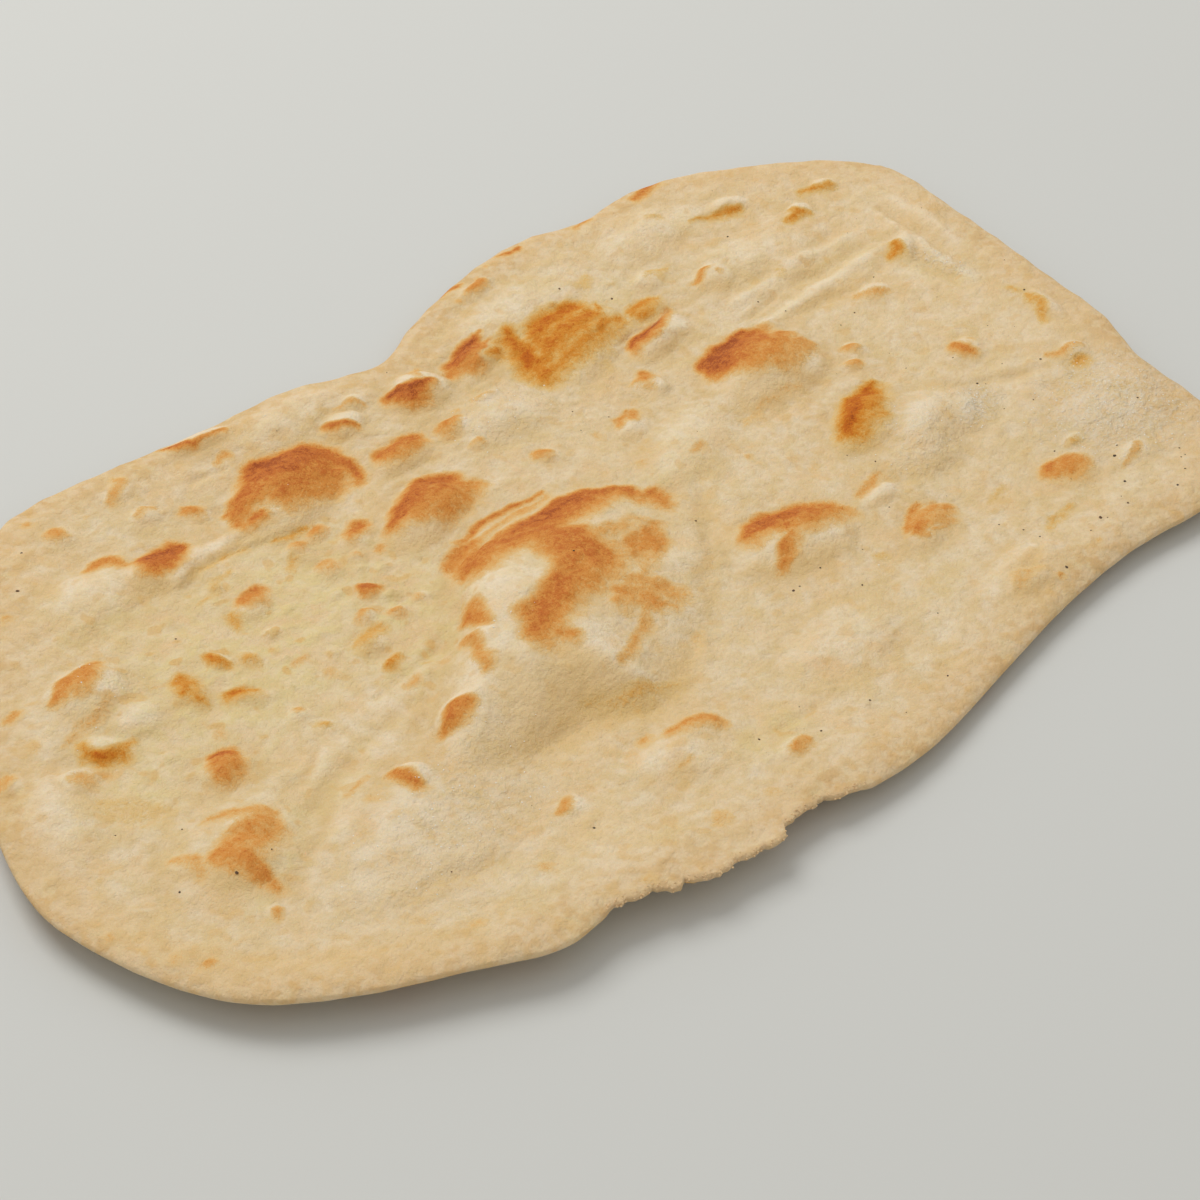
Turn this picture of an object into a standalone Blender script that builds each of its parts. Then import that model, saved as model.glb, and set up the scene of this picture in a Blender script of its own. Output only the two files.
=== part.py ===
"""A lavash: one oven-baked flatbread, a long thin sheet of dough with raised blisters.

Sizes are in millimetres and become metres when the mesh is made. The bread lies on the
flat middle of its underside, +X runs along its length and +Z is up.
"""

import math

import bpy
import numpy as np
from mathutils import Vector
from mathutils.geometry import delaunay_2d_cdt

for old in list(bpy.data.objects):
    bpy.data.objects.remove(old, do_unlink=True)

MM = 0.001

SHEET = 4.0  # thickness of the baked sheet
RIM = 3.0  # thickness at the rim, before its edge is rounded
RIM_BAND = 9.0  # width over which the sheet thins to the rim
ROLL = 4.5  # how far in from the edge the top of the rim rolls over
UNDER_ROLL = 1.5  # the same for its underside
EDGE_LEVEL = 0.32  # where the edge lies in the rim's thickness
SHEET_WAVE = 0.5  # slow change of thickness, up and down
RESTING = 0.5  # share of the way out to the rim that lies flat on the table
RIM_STEP = 4.8  # spacing of points along the rim
TORN_STEP = 2.2  # the same along the torn stretch
TOP_STEP = 6.1  # spacing of points on the plain parts of the top
FOLD_STEP = 3.4  # the same along the folds
UNDER_STEP = 15.0  # spacing of points on the underside
SAG_TURN = 40.0  # the way the blisters sagged while the sheet baked upright, from +X
SAG = 0.12  # how much higher a blister is on that side
SEED = 7

# The rim seen from above, as stations about 25 mm apart, anticlockwise from the left end.
LEFT_END = [(-191, -6), (-188, -31), (-180, -51), (-164, -67), (-143, -81), (-125, -92)]
TORN_RIM = [(-107, -94), (-89, -103), (-69, -108), (-54, -108), (-40, -112)]
NEAR_RIM = [(-15, -114), (20, -111), (50, -109), (78, -110), (103, -115), (119, -116)]
RIGHT_TIP = [(132, -109), (138, -100), (143, -84), (148, -66), (158, -48), (164, -27)]
RIGHT_END = [(171, -3), (176, 17), (181, 39), (175, 55), (165, 66), (150, 78), (137, 87)]
FAR_RIM = [(120, 93), (101, 94), (85, 101), (68, 103), (48, 101), (30, 97), (15, 92), (2, 96)]
FAR_LEFT = [(-13, 103), (-41, 107), (-73, 114), (-93, 117), (-107, 114), (-128, 97)]
LEFT_BACK = [(-148, 75), (-168, 50), (-181, 29), (-189, 10)]
STATIONS = LEFT_END + TORN_RIM + NEAR_RIM + RIGHT_TIP + RIGHT_END + FAR_RIM + FAR_LEFT + LEFT_BACK

# Tears in the torn stretch: where each begins along X, how deep, and how long it runs.
TEARS = [(-100, 1.4, 4), (-94, 1.6, 6), (-82, 1.4, 8), (-65, 3.2, 11), (-52, 1.8, 12)]

# How high the rim stands off the table, every 30 degrees round from +X.
RIM_LIFT = [5.0, 5.0, 3.0, 3.0, 4.0, 5.0, 6.0, 8.0, 6.0, 3.0, 3.5, 5.0]

# Broad swellings with a soft foot: x, y, length, width, turn in degrees, height.
SWELLINGS = [
    (-110, -38, 84, 44, 16, 4.5),
    (84, -40, 48, 28, 12, 4.5),
    (-106, 78, 44, 28, 10, 2.8),
    (17, 52, 36, 24, 0, 2.8),
    (-148, -16, 46, 38, 20, 3.6),
    (-54, -70, 42, 24, -14, 2.2),
    (50, -94, 38, 20, 0, 2.0),
    (124, 46, 62, 26, -8, 2.2),
    (-168, 24, 26, 44, -30, 2.4),
    (126, -72, 40, 34, 0, 2.2),
    (0, -74, 44, 30, 10, 2.0),
    (108, 74, 44, 22, -16, 2.2),
    (40, 4, 46, 26, 10, 2.2),
    (-138, 48, 44, 32, 20, 2.0),
    (-20, 92, 50, 22, -12, 1.8),
    (58, 80, 60, 26, 0, 1.8),
]

# The foot of the great middle puff, as stations: x, y and how steeply it rises there.
PUFF_LEFT = [(-42, 16, 2.2), (-56, 5, 2.2), (-73, -7, 2.2), (-90, -20, 2.2), (-96, -31, 2.5)]
PUFF_NEAR = [(-93, -38, 2.3), (-80, -43.5, 2.6), (-65, -45, 2.5), (-58, -47, 2.4), (-47, -54.5, 2.3)]
PUFF_RIGHT = [(-37, -55, 2.0), (-22, -48, 1.6), (-4, -38, 1.5), (12, -25, 1.5), (20, -8, 1.5), (18, 8, 1.7)]
PUFF_FAR = [(4, 18, 1.8), (-14, 23, 2.0), (-28, 22, 2.2)]
PUFF_FOOT = PUFF_LEFT + PUFF_NEAR + PUFF_RIGHT + PUFF_FAR
PUFF_MIDDLE = (-44, -14)
PUFF_HEIGHT = 11.5
PUFF_OVAL = (-38, -17, 112, 70, 15, 0)  # where the mesh is as fine as the puff needs

# Blisters with a crisp foot, in the same order of numbers.
BLISTERS = [
    (-45, 71, 44, 27, 12, 5.0),
    (77, 9, 43, 30, 4, 5.4),
    (54, 58, 42, 26, 14, 3.4),
    (-27, 38, 34, 20, 14, 4.2),
    (25, -41, 38, 25, -20, 3.8),
    (77, -26, 31, 16, 20, 3.8),
    (-88, 72, 21, 16, 0, 3.2),
    (30, 72, 25, 12, 12, 3.0),
    (9, 74, 22, 18, -8, 3.8),
    (72, 41, 26, 12, 12, 3.2),
    (-134, 51, 28, 19, 18, 3.0),
    (-132, 36, 18, 12, 10, 2.2),
    (-13, 59, 20, 11, -4, 2.6),
    (-14, 80, 14, 11, 0, 2.6),
    (-46, 104, 24, 10, -18, 2.2),
    (54, 29, 12, 11, 20, 1.9),
    (81, 52, 14, 9, 0, 1.9),
    (53, -65, 22, 13, 12, 2.2),
    (-144, 33, 16, 11, -40, 2.2),
    (-117, 33, 10, 15, -10, 2.2),
    (-130, 8, 15, 12, 20, 2.6),
    (-82, 46, 14, 10, 0, 2.2),
    (-83, -21, 16, 10, 15, 1.8),
    (-104, -28, 10, 12, 0, 2.0),
    (36, 21, 11, 10, 0, 1.9),
    (-46, 45, 10, 9, 0, 1.7),
    (-59, 28, 7, 8, 0, 1.6),
    (-73, 14, 11, 9, -10, 1.6),
    (148, 14, 14, 8, 28, 1.9),
    (121, -28, 11, 11, 0, 1.6),
    (127, 8, 12, 8, -10, 1.6),
    (145, 48, 10, 8, 0, 1.6),
    (134, 65, 16, 8, -24, 1.6),
    (95, -79, 18, 16, -10, 1.8),
    (104, 47, 14, 12, 0, 1.6),
]

# Folds: height above the sheet, or below it, then stations of x, y and width.
FOLDS = [
    (1.2, (98, 36, 6), (122, 34, 11), (150, 28, 6)),
    (1.2, (96, 23, 6), (122, 21, 9), (148, 18, 6)),
    (1.0, (157, 28, 5), (153.5, 14, 8), (151.5, 3, 7), (148, -11, 4)),
    (0.8, (168, 38, 5), (165, 20, 9), (160, 2, 5)),
    (0.9, (-96, 62, 5), (-76, 71, 9), (-54, 66, 6)),
    (0.5, (-60, -4, 6), (-78, -4, 14), (-102, -3, 18), (-116, -7, 18), (-128, -6, 14), (-144, 0, 6)),
    (0.8, (-72, -13, 6), (-88, -13, 10), (-104, -15, 14), (-116, -20, 14), (-130, -27, 12), (-146, -36, 6)),
    (-0.6, (-84, -9, 4), (-104, -10.5, 7), (-116, -13.5, 9), (-128, -17, 9), (-142, -24, 4)),
    (-1.1, (111, 30, 3), (120, 28, 6), (128, 25.5, 8), (137, 24, 7), (147, 23.5, 3)),
    (-0.9, (106, 19, 4), (114, 17.5, 6), (121, 16, 6), (129, 13.5, 4), (138, 13, 3)),
    (-1.0, (149, 10, 5), (146, 2, 8), (145, -5, 6), (144, -11, 3)),
    (-0.8, (161, 31, 4), (159, 22, 5), (156.5, 12, 4), (153.5, 2, 3)),
    (-1.0, (106, -34, 4), (117, -43, 8), (128, -50, 4)),
    (-1.0, (5, -31, 5), (16, -20, 10), (27, -9, 5)),
    (-0.5, (-138, -56, 4), (-124, -57, 8), (-114, -62, 8), (-102, -62, 4)),
]


def closed_curve(stations, steps):
    """Points of a smooth closed curve through the stations."""
    points = np.array(stations, float)
    count = len(points)
    curve = []
    for i in range(count):
        before = points[i - 1]
        here = points[i]
        after = points[(i + 1) % count]
        beyond = points[(i + 2) % count]
        for t in np.arange(steps) / steps:
            bend = 2 * before - 5 * here + 4 * after - beyond
            twist = 3 * here - before - 3 * after + beyond
            curve.append(0.5 * (2 * here + (after - before) * t + bend * t**2 + twist * t**3))
    return np.array(curve)


def in_torn_stretch(point):
    """Whether a point of the rim lies in its torn stretch."""
    return point[1] < -80 and TORN_RIM[0][0] < point[0] < TORN_RIM[-1][0] + 10


def spaced(curve, step, torn_step):
    """The same closed curve with its points a step apart, closer in the torn stretch."""
    loop = np.vstack([curve, curve[:1]])
    along = np.concatenate([[0], np.cumsum(np.hypot(*np.diff(loop, axis=0).T))])
    points = []
    reached = 0.0
    while reached < along[-1] - 0.6 * step:
        point = [np.interp(reached, along, loop[:, k]) for k in (0, 1)]
        points.append(point)
        reached += torn_step if in_torn_stretch(point) else step
    return np.array(points)


def lumps(x, y, size, seed):
    """Smooth random ups and downs between -1 and 1, about this size across."""
    lattice = np.random.default_rng(seed).uniform(-1, 1, (96, 96))
    across = np.asarray(x) / size + 48
    up = np.asarray(y) / size + 48
    i = np.floor(across).astype(int)
    j = np.floor(up).astype(int)
    s = across - i
    t = up - j
    s = s * s * (3 - 2 * s)
    t = t * t * (3 - 2 * t)
    low = lattice[i, j] * (1 - s) + lattice[i + 1, j] * s
    high = lattice[i, j + 1] * (1 - s) + lattice[i + 1, j + 1] * s
    return low * (1 - t) + high * t


def smooth(value):
    """0 below 0, 1 above 1 and an even slope between."""
    value = np.clip(value, 0, 1)
    return value * value * (3 - 2 * value)


outline = spaced(closed_curve(STATIONS, 12), 0.5, 0.5)
outline_angle = np.arctan2(outline[:, 1], outline[:, 0])
by_angle = np.argsort(outline_angle)
rim_angle = outline_angle[by_angle]
rim_radius = np.hypot(outline[:, 0], outline[:, 1])[by_angle]
lift_by_angle = closed_curve([(lift, 0) for lift in RIM_LIFT], 30)[:, 0]


def way_out(x, y):
    """0 at the middle of the bread and 1 at its rim."""
    edge = np.interp(np.arctan2(y, x), rim_angle, rim_radius, period=2 * math.pi)
    return np.hypot(x, y) / edge


def underside(x, y):
    """Height of the underside: flat in the middle, lifting a little towards the rim."""
    turn = np.degrees(np.arctan2(y, x)) % 360
    rim_lift = np.interp(turn, np.arange(360), lift_by_angle, period=360)
    share = np.clip((way_out(x, y) - RESTING) / (1 - RESTING), 0, 1)
    return rim_lift * share**1.6


def in_bump(x, y, bump):
    """How far out of a bump's middle a point is: 1 at its foot. Its edge wanders a little."""
    cx, cy, length, width, turn, _ = bump
    turn = math.radians(turn)
    wander = 0.06 * min(length, 40)
    px = x - cx + wander * lumps(x, y, 0.35 * width + 5, SEED + 1)
    py = y - cy + wander * lumps(x, y, 0.35 * width + 5, SEED + 2)
    along = px * math.cos(turn) + py * math.sin(turn)
    across = py * math.cos(turn) - px * math.sin(turn)
    return np.hypot(along / (length / 2), across / (width / 2))


def sagged(x, y, bump):
    """How much higher this side of a blister is."""
    cx, cy, length, width, _, _ = bump
    sag = math.radians(SAG_TURN)
    reach = (length + width) / 4
    side = ((x - cx) * math.cos(sag) + (y - cy) * math.sin(sag)) / reach
    return 1 + SAG * np.clip(side, -1, 1)


def into_stroke(x, y, stations):
    """How deep inside a band through the stations each point lies: less than 0 outside it."""
    deepest = np.full(np.shape(x), -99.0)
    for (x0, y0, w0), (x1, y1, w1) in zip(stations[:-1], stations[1:]):
        run = (x1 - x0) ** 2 + (y1 - y0) ** 2
        t = np.clip(((x - x0) * (x1 - x0) + (y - y0) * (y1 - y0)) / run, 0, 1)
        gap = np.hypot(x - x0 - t * (x1 - x0), y - y0 - t * (y1 - y0))
        deepest = np.maximum(deepest, (w0 + t * (w1 - w0)) / 2 - gap)
    return deepest


puff_curve = closed_curve(PUFF_FOOT, 12)
puff_curve[:, :2] -= PUFF_MIDDLE
puff_angle = np.arctan2(puff_curve[:, 1], puff_curve[:, 0])
by_angle = np.argsort(puff_angle)
puff_angle = puff_angle[by_angle]
puff_reach = np.hypot(puff_curve[:, 0], puff_curve[:, 1])[by_angle]
puff_rise = puff_curve[by_angle, 2]


def puff(x, y):
    """Height of the great puff: a pillow, steep on its near side and gentle on its right."""
    px = x - PUFF_MIDDLE[0] + 1.5 * lumps(x, y, 12, SEED + 1)
    py = y - PUFF_MIDDLE[1] + 1.5 * lumps(x, y, 12, SEED + 2)
    turn = np.arctan2(py, px)
    foot = np.interp(turn, puff_angle, puff_reach, period=2 * math.pi)
    rise = np.interp(turn, puff_angle, puff_rise, period=2 * math.pi)
    inside = np.clip(1 - (np.hypot(px, py) / foot) ** rise, 0, None)
    return PUFF_HEIGHT * inside ** (1 + 0.6 / rise) * (1 + 0.1 * lumps(x, y, 22, SEED + 3))


def relief(x, y):
    """Height of the swellings, blisters and folds above the plain sheet."""
    height = SHEET_WAVE * lumps(x, y, 34, SEED) + puff(x, y)
    for swelling in SWELLINGS:
        inside = np.clip(1 - in_bump(x, y, swelling) ** 2, 0, None)
        height = height + swelling[5] * inside**1.7
    for blister in BLISTERS:
        inside = np.clip(1 - in_bump(x, y, blister) ** 2, 0, None)
        height = height + blister[5] * inside**1.2 * sagged(x, y, blister)
    for fold, *stations in FOLDS:
        half = max(width for _, _, width in stations) / 2
        drift_x = x + 0.8 * lumps(x, y, 14, SEED + 4)
        drift_y = y + 0.8 * lumps(x, y, 14, SEED + 5)
        height = height + fold * smooth(into_stroke(drift_x, drift_y, stations) / half)
    return height


def from_rim(x, y):
    """Distance in from the rim."""
    distance = np.full(np.shape(x), np.inf)
    for point in outline[::3]:
        distance = np.minimum(distance, np.hypot(x - point[0], y - point[1]))
    return distance


def rolled(distance, roll):
    """0 at the edge, rising like a quarter circle to 1 at the roll's width."""
    share = np.clip(distance / roll, 0, 1)
    return np.sqrt(1 - (1 - share) ** 2)


def top_height(x, y, distance):
    """Height of the top of the bread this far in from the rim."""
    thickness = RIM + (SHEET - RIM) * smooth(distance / RIM_BAND)
    upper = thickness * (EDGE_LEVEL + (1 - EDGE_LEVEL) * rolled(distance, ROLL))
    return underside(x, y) + upper + relief(x, y) * smooth(distance / 7)


def under_height(x, y, distance):
    """Height of the underside this far in from the rim, with its edge rounded."""
    return underside(x, y) + RIM * EDGE_LEVEL * (1 - rolled(distance, UNDER_ROLL))


def tear_depth(rim):
    """How far in the tears reach at each point of the rim."""
    depth = np.zeros(len(rim))
    for start, deep, run in TEARS:
        past = rim[:, 0] - start
        torn = (rim[:, 1] < -80) & (past > 0)
        depth += np.where(torn, deep * np.exp(-np.clip(past, 0, None) / run), 0)
    return depth


def set_in(rim, distance):
    """The rim moved in by a distance, square to itself."""
    run = np.roll(rim, -1, axis=0) - np.roll(rim, 1, axis=0)
    run = run / np.hypot(run[:, 0], run[:, 1])[:, None]
    return rim + np.reshape(distance, (-1, 1)) * np.stack([-run[:, 1], run[:, 0]], axis=1)


def honeycomb(half_length, half_width, step):
    """Points in a triangular pattern over a box round the middle."""
    rows = np.arange(-half_width, half_width, step * math.sqrt(3) / 2)
    points = []
    for row, y in enumerate(rows):
        for x in np.arange(-half_length + (row % 2) * step / 2, half_length, step):
            points.append((x, y))
    return points


def bump_points(bump, step):
    """Rings of points over a bump, so that the mesh follows its form."""
    cx, cy, length, width, turn, _ = bump
    turn = math.radians(turn)
    rings = max(2, int(round(width / 2 / step)))
    points = [(cx, cy)]
    for ring in range(1, rings + 1):
        share = ring / rings
        count = int(math.pi * share * (length + width) / 2 / step)
        for k in range(max(count, 6)):
            angle = 2 * math.pi * k / max(count, 6) + ring
            along = share * length / 2 * math.cos(angle)
            across = share * width / 2 * math.sin(angle)
            x = cx + along * math.cos(turn) - across * math.sin(turn)
            y = cy + along * math.sin(turn) + across * math.cos(turn)
            points.append((x, y))
    return points


def fold_points(stations, step):
    """Rows of points along a fold, so that the mesh follows its crest."""
    points = []
    for (x0, y0, w0), (x1, y1, w1) in zip(stations[:-1], stations[1:]):
        run = math.hypot(x1 - x0, y1 - y0)
        count = max(2, int(run / step))
        for k in range(count):
            t = k / count
            half = (w0 + t * (w1 - w0)) / 2
            for share in (0, 0.55, -0.55, 1.1, -1.1):
                off_x = -share * half * (y1 - y0) / run
                off_y = share * half * (x1 - x0) / run
                points.append((x0 + t * (x1 - x0) + off_x, y0 + t * (y1 - y0) + off_y))
    return points


def well_spread(groups, keep_off, least_in):
    """The points of each group that stay clear of those already kept and of the rim."""
    kept = list(keep_off)
    chosen = []
    for points, step in groups:
        points = np.array(points)
        clear = (way_out(points[:, 0], points[:, 1]) < 1) & (
            from_rim(points[:, 0], points[:, 1]) > least_in + 0.5 * step
        )
        for point in points[clear]:
            near = np.array(kept)
            if np.hypot(near[:, 0] - point[0], near[:, 1] - point[1]).min() > 0.74 * step:
                kept.append(point)
                chosen.append(point)
    return np.array(chosen)


def fill(border, inner):
    """Triangles over the area inside the border, through the inner points."""
    count = len(border)
    points = [Vector(p) for p in np.vstack([border, inner])]
    edges = [(i, (i + 1) % count) for i in range(count)]
    found = delaunay_2d_cdt(points, edges, [list(range(count))], 1, 1e-5)
    return np.array([tuple(v) for v in found[0]]), found[2]


whole_rim = spaced(outline, RIM_STEP, TORN_STEP)
tears = tear_depth(whole_rim)
rim = set_in(whole_rim, tears)
count = len(rim)
inner_rings = [(0.6, 1.0), (2.0, 0.8), (ROLL, 0.5)]  # distance in, and share of the tear followed
rings = [set_in(whole_rim, tears * share + distance) for distance, share in inner_rings]
border = rings[-1]

fine_groups = []
for _, *stations in FOLDS:
    fine_groups.append((fold_points(stations, FOLD_STEP), FOLD_STEP))
for blister in sorted(BLISTERS + [PUFF_OVAL], key=lambda b: b[3]):
    step = min(max(blister[3] / 5.5, 2.4), 4.4)
    fine_groups.append((bump_points(blister, step), step))
plain = honeycomb(200, 124, TOP_STEP)
top_points = well_spread(fine_groups + [(plain, TOP_STEP)], border, ROLL)
under_plain = honeycomb(200, 124, UNDER_STEP)
under_points = well_spread([(under_plain, UNDER_STEP)], border, ROLL)

top_plan, top_faces = fill(border, top_points)
under_plan, under_faces = fill(border, under_points)

vertices = []
faces = []


def add_ring(ring, distance, over):
    """Adds a ring of points near the rim, on the top or on the underside."""
    first = len(vertices)
    level = top_height if over else under_height
    heights = level(ring[:, 0], ring[:, 1], np.full(len(ring), distance))
    vertices.extend(zip(ring[:, 0], ring[:, 1], heights))
    return first


def add_sheet(plan, over):
    """Adds a filled area. Its first points are the border ring."""
    first = len(vertices)
    distance = np.maximum(from_rim(plan[:, 0], plan[:, 1]), ROLL)
    distance[:count] = ROLL
    level = top_height if over else under_height
    vertices.extend(zip(plan[:, 0], plan[:, 1], level(plan[:, 0], plan[:, 1], distance)))
    return first


def join_rings(outer, inner, upward):
    """Quads between two rings of the rim."""
    for i in range(count):
        j = (i + 1) % count
        face = (outer + i, outer + j, inner + j, inner + i)
        faces.append(face if upward else face[::-1])


edge_ring = add_ring(rim, 0.0, True)
for over, plan, sheet_faces in [(True, top_plan, top_faces), (False, under_plan, under_faces)]:
    outer = edge_ring
    for ring, (distance, _) in zip(rings[:-1], inner_rings):
        inner = add_ring(ring, distance, over)
        join_rings(outer, inner, over)
        outer = inner
    sheet = add_sheet(plan, over)
    join_rings(outer, sheet, over)
    for face in sheet_faces:
        turned = face if over else face[::-1]
        faces.append(tuple(sheet + i for i in turned))

points = np.array(vertices)
box_middle = (points.max(axis=0) + points.min(axis=0)) / 2
points = (points - [box_middle[0], box_middle[1], points[:, 2].min()]) * MM

mesh = bpy.data.meshes.new("lavash")
mesh.from_pydata([tuple(p) for p in points], [], faces)
mesh.validate()
mesh.update()
bread = bpy.data.objects.new("lavash", mesh)
bpy.context.scene.collection.objects.link(bread)

crust = bpy.data.materials.new("baked_dough")
crust.use_nodes = True
shader = crust.node_tree.nodes["Principled BSDF"]
shader.inputs["Base Color"].default_value = (0.66, 0.47, 0.26, 1.0)
shader.inputs["Roughness"].default_value = 0.75
mesh.materials.append(crust)
print("triangles:", sum(len(face) - 2 for face in faces))
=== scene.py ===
# %% [markdown]
# # An oven-baked flatbread
# A lavash of this kind is a long, thin sheet of dough that is slapped on to the hot wall of an
# oven. The heat lifts it into blisters, and the highest parts of the blisters turn brown.
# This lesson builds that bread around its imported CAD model. The CAD gives the size and the place;
# here the sheet gets its fine surface, its browning and its grain.
# Lengths are written in millimetres, as a baker would say them, and become metres in the mesh.

# %% Load the fixed frame and keep its box
import math

import bpy
import numpy as np
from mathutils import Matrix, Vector


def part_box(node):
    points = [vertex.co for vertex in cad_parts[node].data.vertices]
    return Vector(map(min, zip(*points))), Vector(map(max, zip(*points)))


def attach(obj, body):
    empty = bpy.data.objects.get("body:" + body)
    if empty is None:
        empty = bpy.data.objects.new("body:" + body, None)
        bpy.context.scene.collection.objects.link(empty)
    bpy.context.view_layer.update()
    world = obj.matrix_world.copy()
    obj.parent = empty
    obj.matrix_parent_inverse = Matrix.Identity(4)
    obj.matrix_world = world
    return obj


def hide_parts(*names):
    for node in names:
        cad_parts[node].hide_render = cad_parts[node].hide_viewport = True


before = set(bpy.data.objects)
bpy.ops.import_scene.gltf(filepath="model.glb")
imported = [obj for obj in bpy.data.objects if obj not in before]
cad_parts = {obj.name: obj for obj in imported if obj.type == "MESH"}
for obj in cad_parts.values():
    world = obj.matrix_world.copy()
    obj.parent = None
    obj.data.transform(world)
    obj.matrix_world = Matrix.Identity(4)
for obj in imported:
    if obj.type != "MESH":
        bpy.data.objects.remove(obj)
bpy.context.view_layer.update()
cad_low, cad_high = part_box("lavash")
MM = 0.001
SEED = 7
print("CAD box, mm:", [round((high - low) / MM, 1) for low, high in zip(cad_low, cad_high)])

# %% [markdown]
# ## The rim
# Seen from above the bread is a long uneven oval, pulled out by hand, with one stretch of its near
# rim torn. An outline like this could be drawn as a Bezier curve. A closed curve through a few
# named stations, about 20 mm apart, is easier to change and gives the same line every time.

# %% Stations of the rim
LEFT_END = [(-191, -6), (-188, -31), (-180, -51), (-164, -67), (-143, -81), (-125, -92)]
TORN_RIM = [(-107, -94), (-89, -103), (-69, -108), (-54, -108), (-40, -112)]
NEAR_RIM = [(-15, -114), (20, -111), (50, -109), (78, -110), (103, -115), (119, -116)]
RIGHT_TIP = [(132, -109), (138, -100), (143, -84), (148, -66), (158, -48), (164, -27)]
RIGHT_END = [(171, -3), (176, 17), (181, 39), (175, 55), (165, 66), (150, 78), (137, 87)]
FAR_RIM = [(120, 93), (101, 94), (85, 101), (68, 103), (48, 101), (30, 97), (15, 92), (2, 96)]
FAR_LEFT = [(-13, 103), (-41, 107), (-73, 114), (-93, 117), (-107, 114), (-128, 97)]
LEFT_BACK = [(-148, 75), (-168, 50), (-181, 29), (-189, 10)]
STATIONS = LEFT_END + TORN_RIM + NEAR_RIM + RIGHT_TIP + RIGHT_END + FAR_RIM + FAR_LEFT + LEFT_BACK
print("stations of the rim:", len(STATIONS))

# %% A smooth closed curve
CURVE_STEPS = 12  # from one station to the next
OUTLINE_POINTS = 1970


def closed_curve(stations, steps):
    """Points of a smooth closed curve through the stations."""
    points = np.array(stations, float)
    count = len(points)
    curve = []
    for i in range(count):
        before, here = points[i - 1], points[i]
        after, beyond = points[(i + 1) % count], points[(i + 2) % count]
        for t in np.arange(steps) / steps:
            bend = 2 * before - 5 * here + 4 * after - beyond
            twist = 3 * here - before - 3 * after + beyond
            curve.append(0.5 * (2 * here + (after - before) * t + bend * t**2 + twist * t**3))
    return np.array(curve)


def evenly(curve, count):
    """The same closed curve with this many points, evenly spaced."""
    loop = np.vstack([curve, curve[:1]])
    along = np.concatenate([[0], np.cumsum(np.hypot(*np.diff(loop, axis=0).T))])
    reached = np.arange(count) * along[-1] / count
    return np.stack([np.interp(reached, along, loop[:, k]) for k in (0, 1)], axis=1)


def round_middle(curve):
    """A curve's points in the order of their angle: the angles, the distances and the points."""
    angle = np.arctan2(curve[:, 1], curve[:, 0])
    order = np.argsort(angle)
    return angle[order], np.hypot(curve[:, 0], curve[:, 1])[order], curve[order]


rim_curve = closed_curve(STATIONS, CURVE_STEPS)
outline = evenly(rim_curve, OUTLINE_POINTS)
rim_angle, rim_radius, _ = round_middle(outline)
rim_run = np.hypot(*np.diff(outline, axis=0).T).sum()
print(f"the rim is {rim_run:.0f} mm round")

# %% Smooth steps and random lumps
LUMPY_REACH = 230  # mm from the middle that lumps have to cover
LEAST_CELLS = 48  # of the lattice under the lumps, from its middle to its side


def smooth(value):
    """0 below 0, 1 above 1 and an even slope between."""
    value = np.clip(value, 0, 1)
    return value * value * (3 - 2 * value)


def lumps(x, y, size, seed):
    """Smooth random ups and downs between -1 and 1, about this size across."""
    half = max(LEAST_CELLS, int(LUMPY_REACH / size) + 2)
    lattice = np.random.default_rng(seed).uniform(-1, 1, (2 * half, 2 * half))
    across = np.asarray(x) / size + half
    up = np.asarray(y) / size + half
    i = np.floor(across).astype(int)
    j = np.floor(up).astype(int)
    s = smooth(across - i)
    t = smooth(up - j)
    low = lattice[i, j] * (1 - s) + lattice[i + 1, j] * s
    high = lattice[i, j + 1] * (1 - s) + lattice[i + 1, j + 1] * s
    return low * (1 - t) + high * t


def drifted(x, y, distance, size, seed):
    """The points moved by lumps, so that what is drawn at them gets an uneven edge."""
    return x + distance * lumps(x, y, size, seed), y + distance * lumps(x, y, size, seed + 1)


print("a lump's height at the middle:", round(float(lumps(0.0, 0.0, 34, SEED)), 3))

# %% [markdown]
# ## The torn stretch
# The bread was torn from its neighbour along part of the near rim. A tear in baked dough runs
# straight for a few millimetres and then steps in, so the rim is cut back in saw-tooth steps,
# with a fine crumbly edge on top. A Boolean could cut them out; moving the rim's own points in
# keeps the mesh even.

# %% Tears: where each begins along X, how deep it is and how long it runs
TEARS = [(-100, 1.4, 4), (-94, 1.6, 6), (-82, 1.4, 8), (-65, 3.2, 11), (-52, 1.8, 12)]
TORN_START = (-113, 4)  # where the torn stretch begins along X, and over how many mm
TORN_STOP = (-36, 6)
TORN_Y = -80  # it lies nearer than this
CRUMBLE = 0.8  # how far the torn edge wanders
CRUMBLE_IN = 0.6  # how much further in it lies, as a share of that
CRUMBLE_SIZES = (1.6, 3.7)


def torn(x, y):
    """1 in the torn stretch of the rim and 0 elsewhere."""
    begun = smooth((x - TORN_START[0]) / TORN_START[1])
    unended = smooth((TORN_STOP[0] - x) / TORN_STOP[1])
    return begun * unended * (y < TORN_Y)


def moved_in(points, distance):
    """Points of the rim moved towards the middle."""
    reach = np.hypot(points[:, 0], points[:, 1])
    return points * (1 - distance / reach)[:, None]


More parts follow.
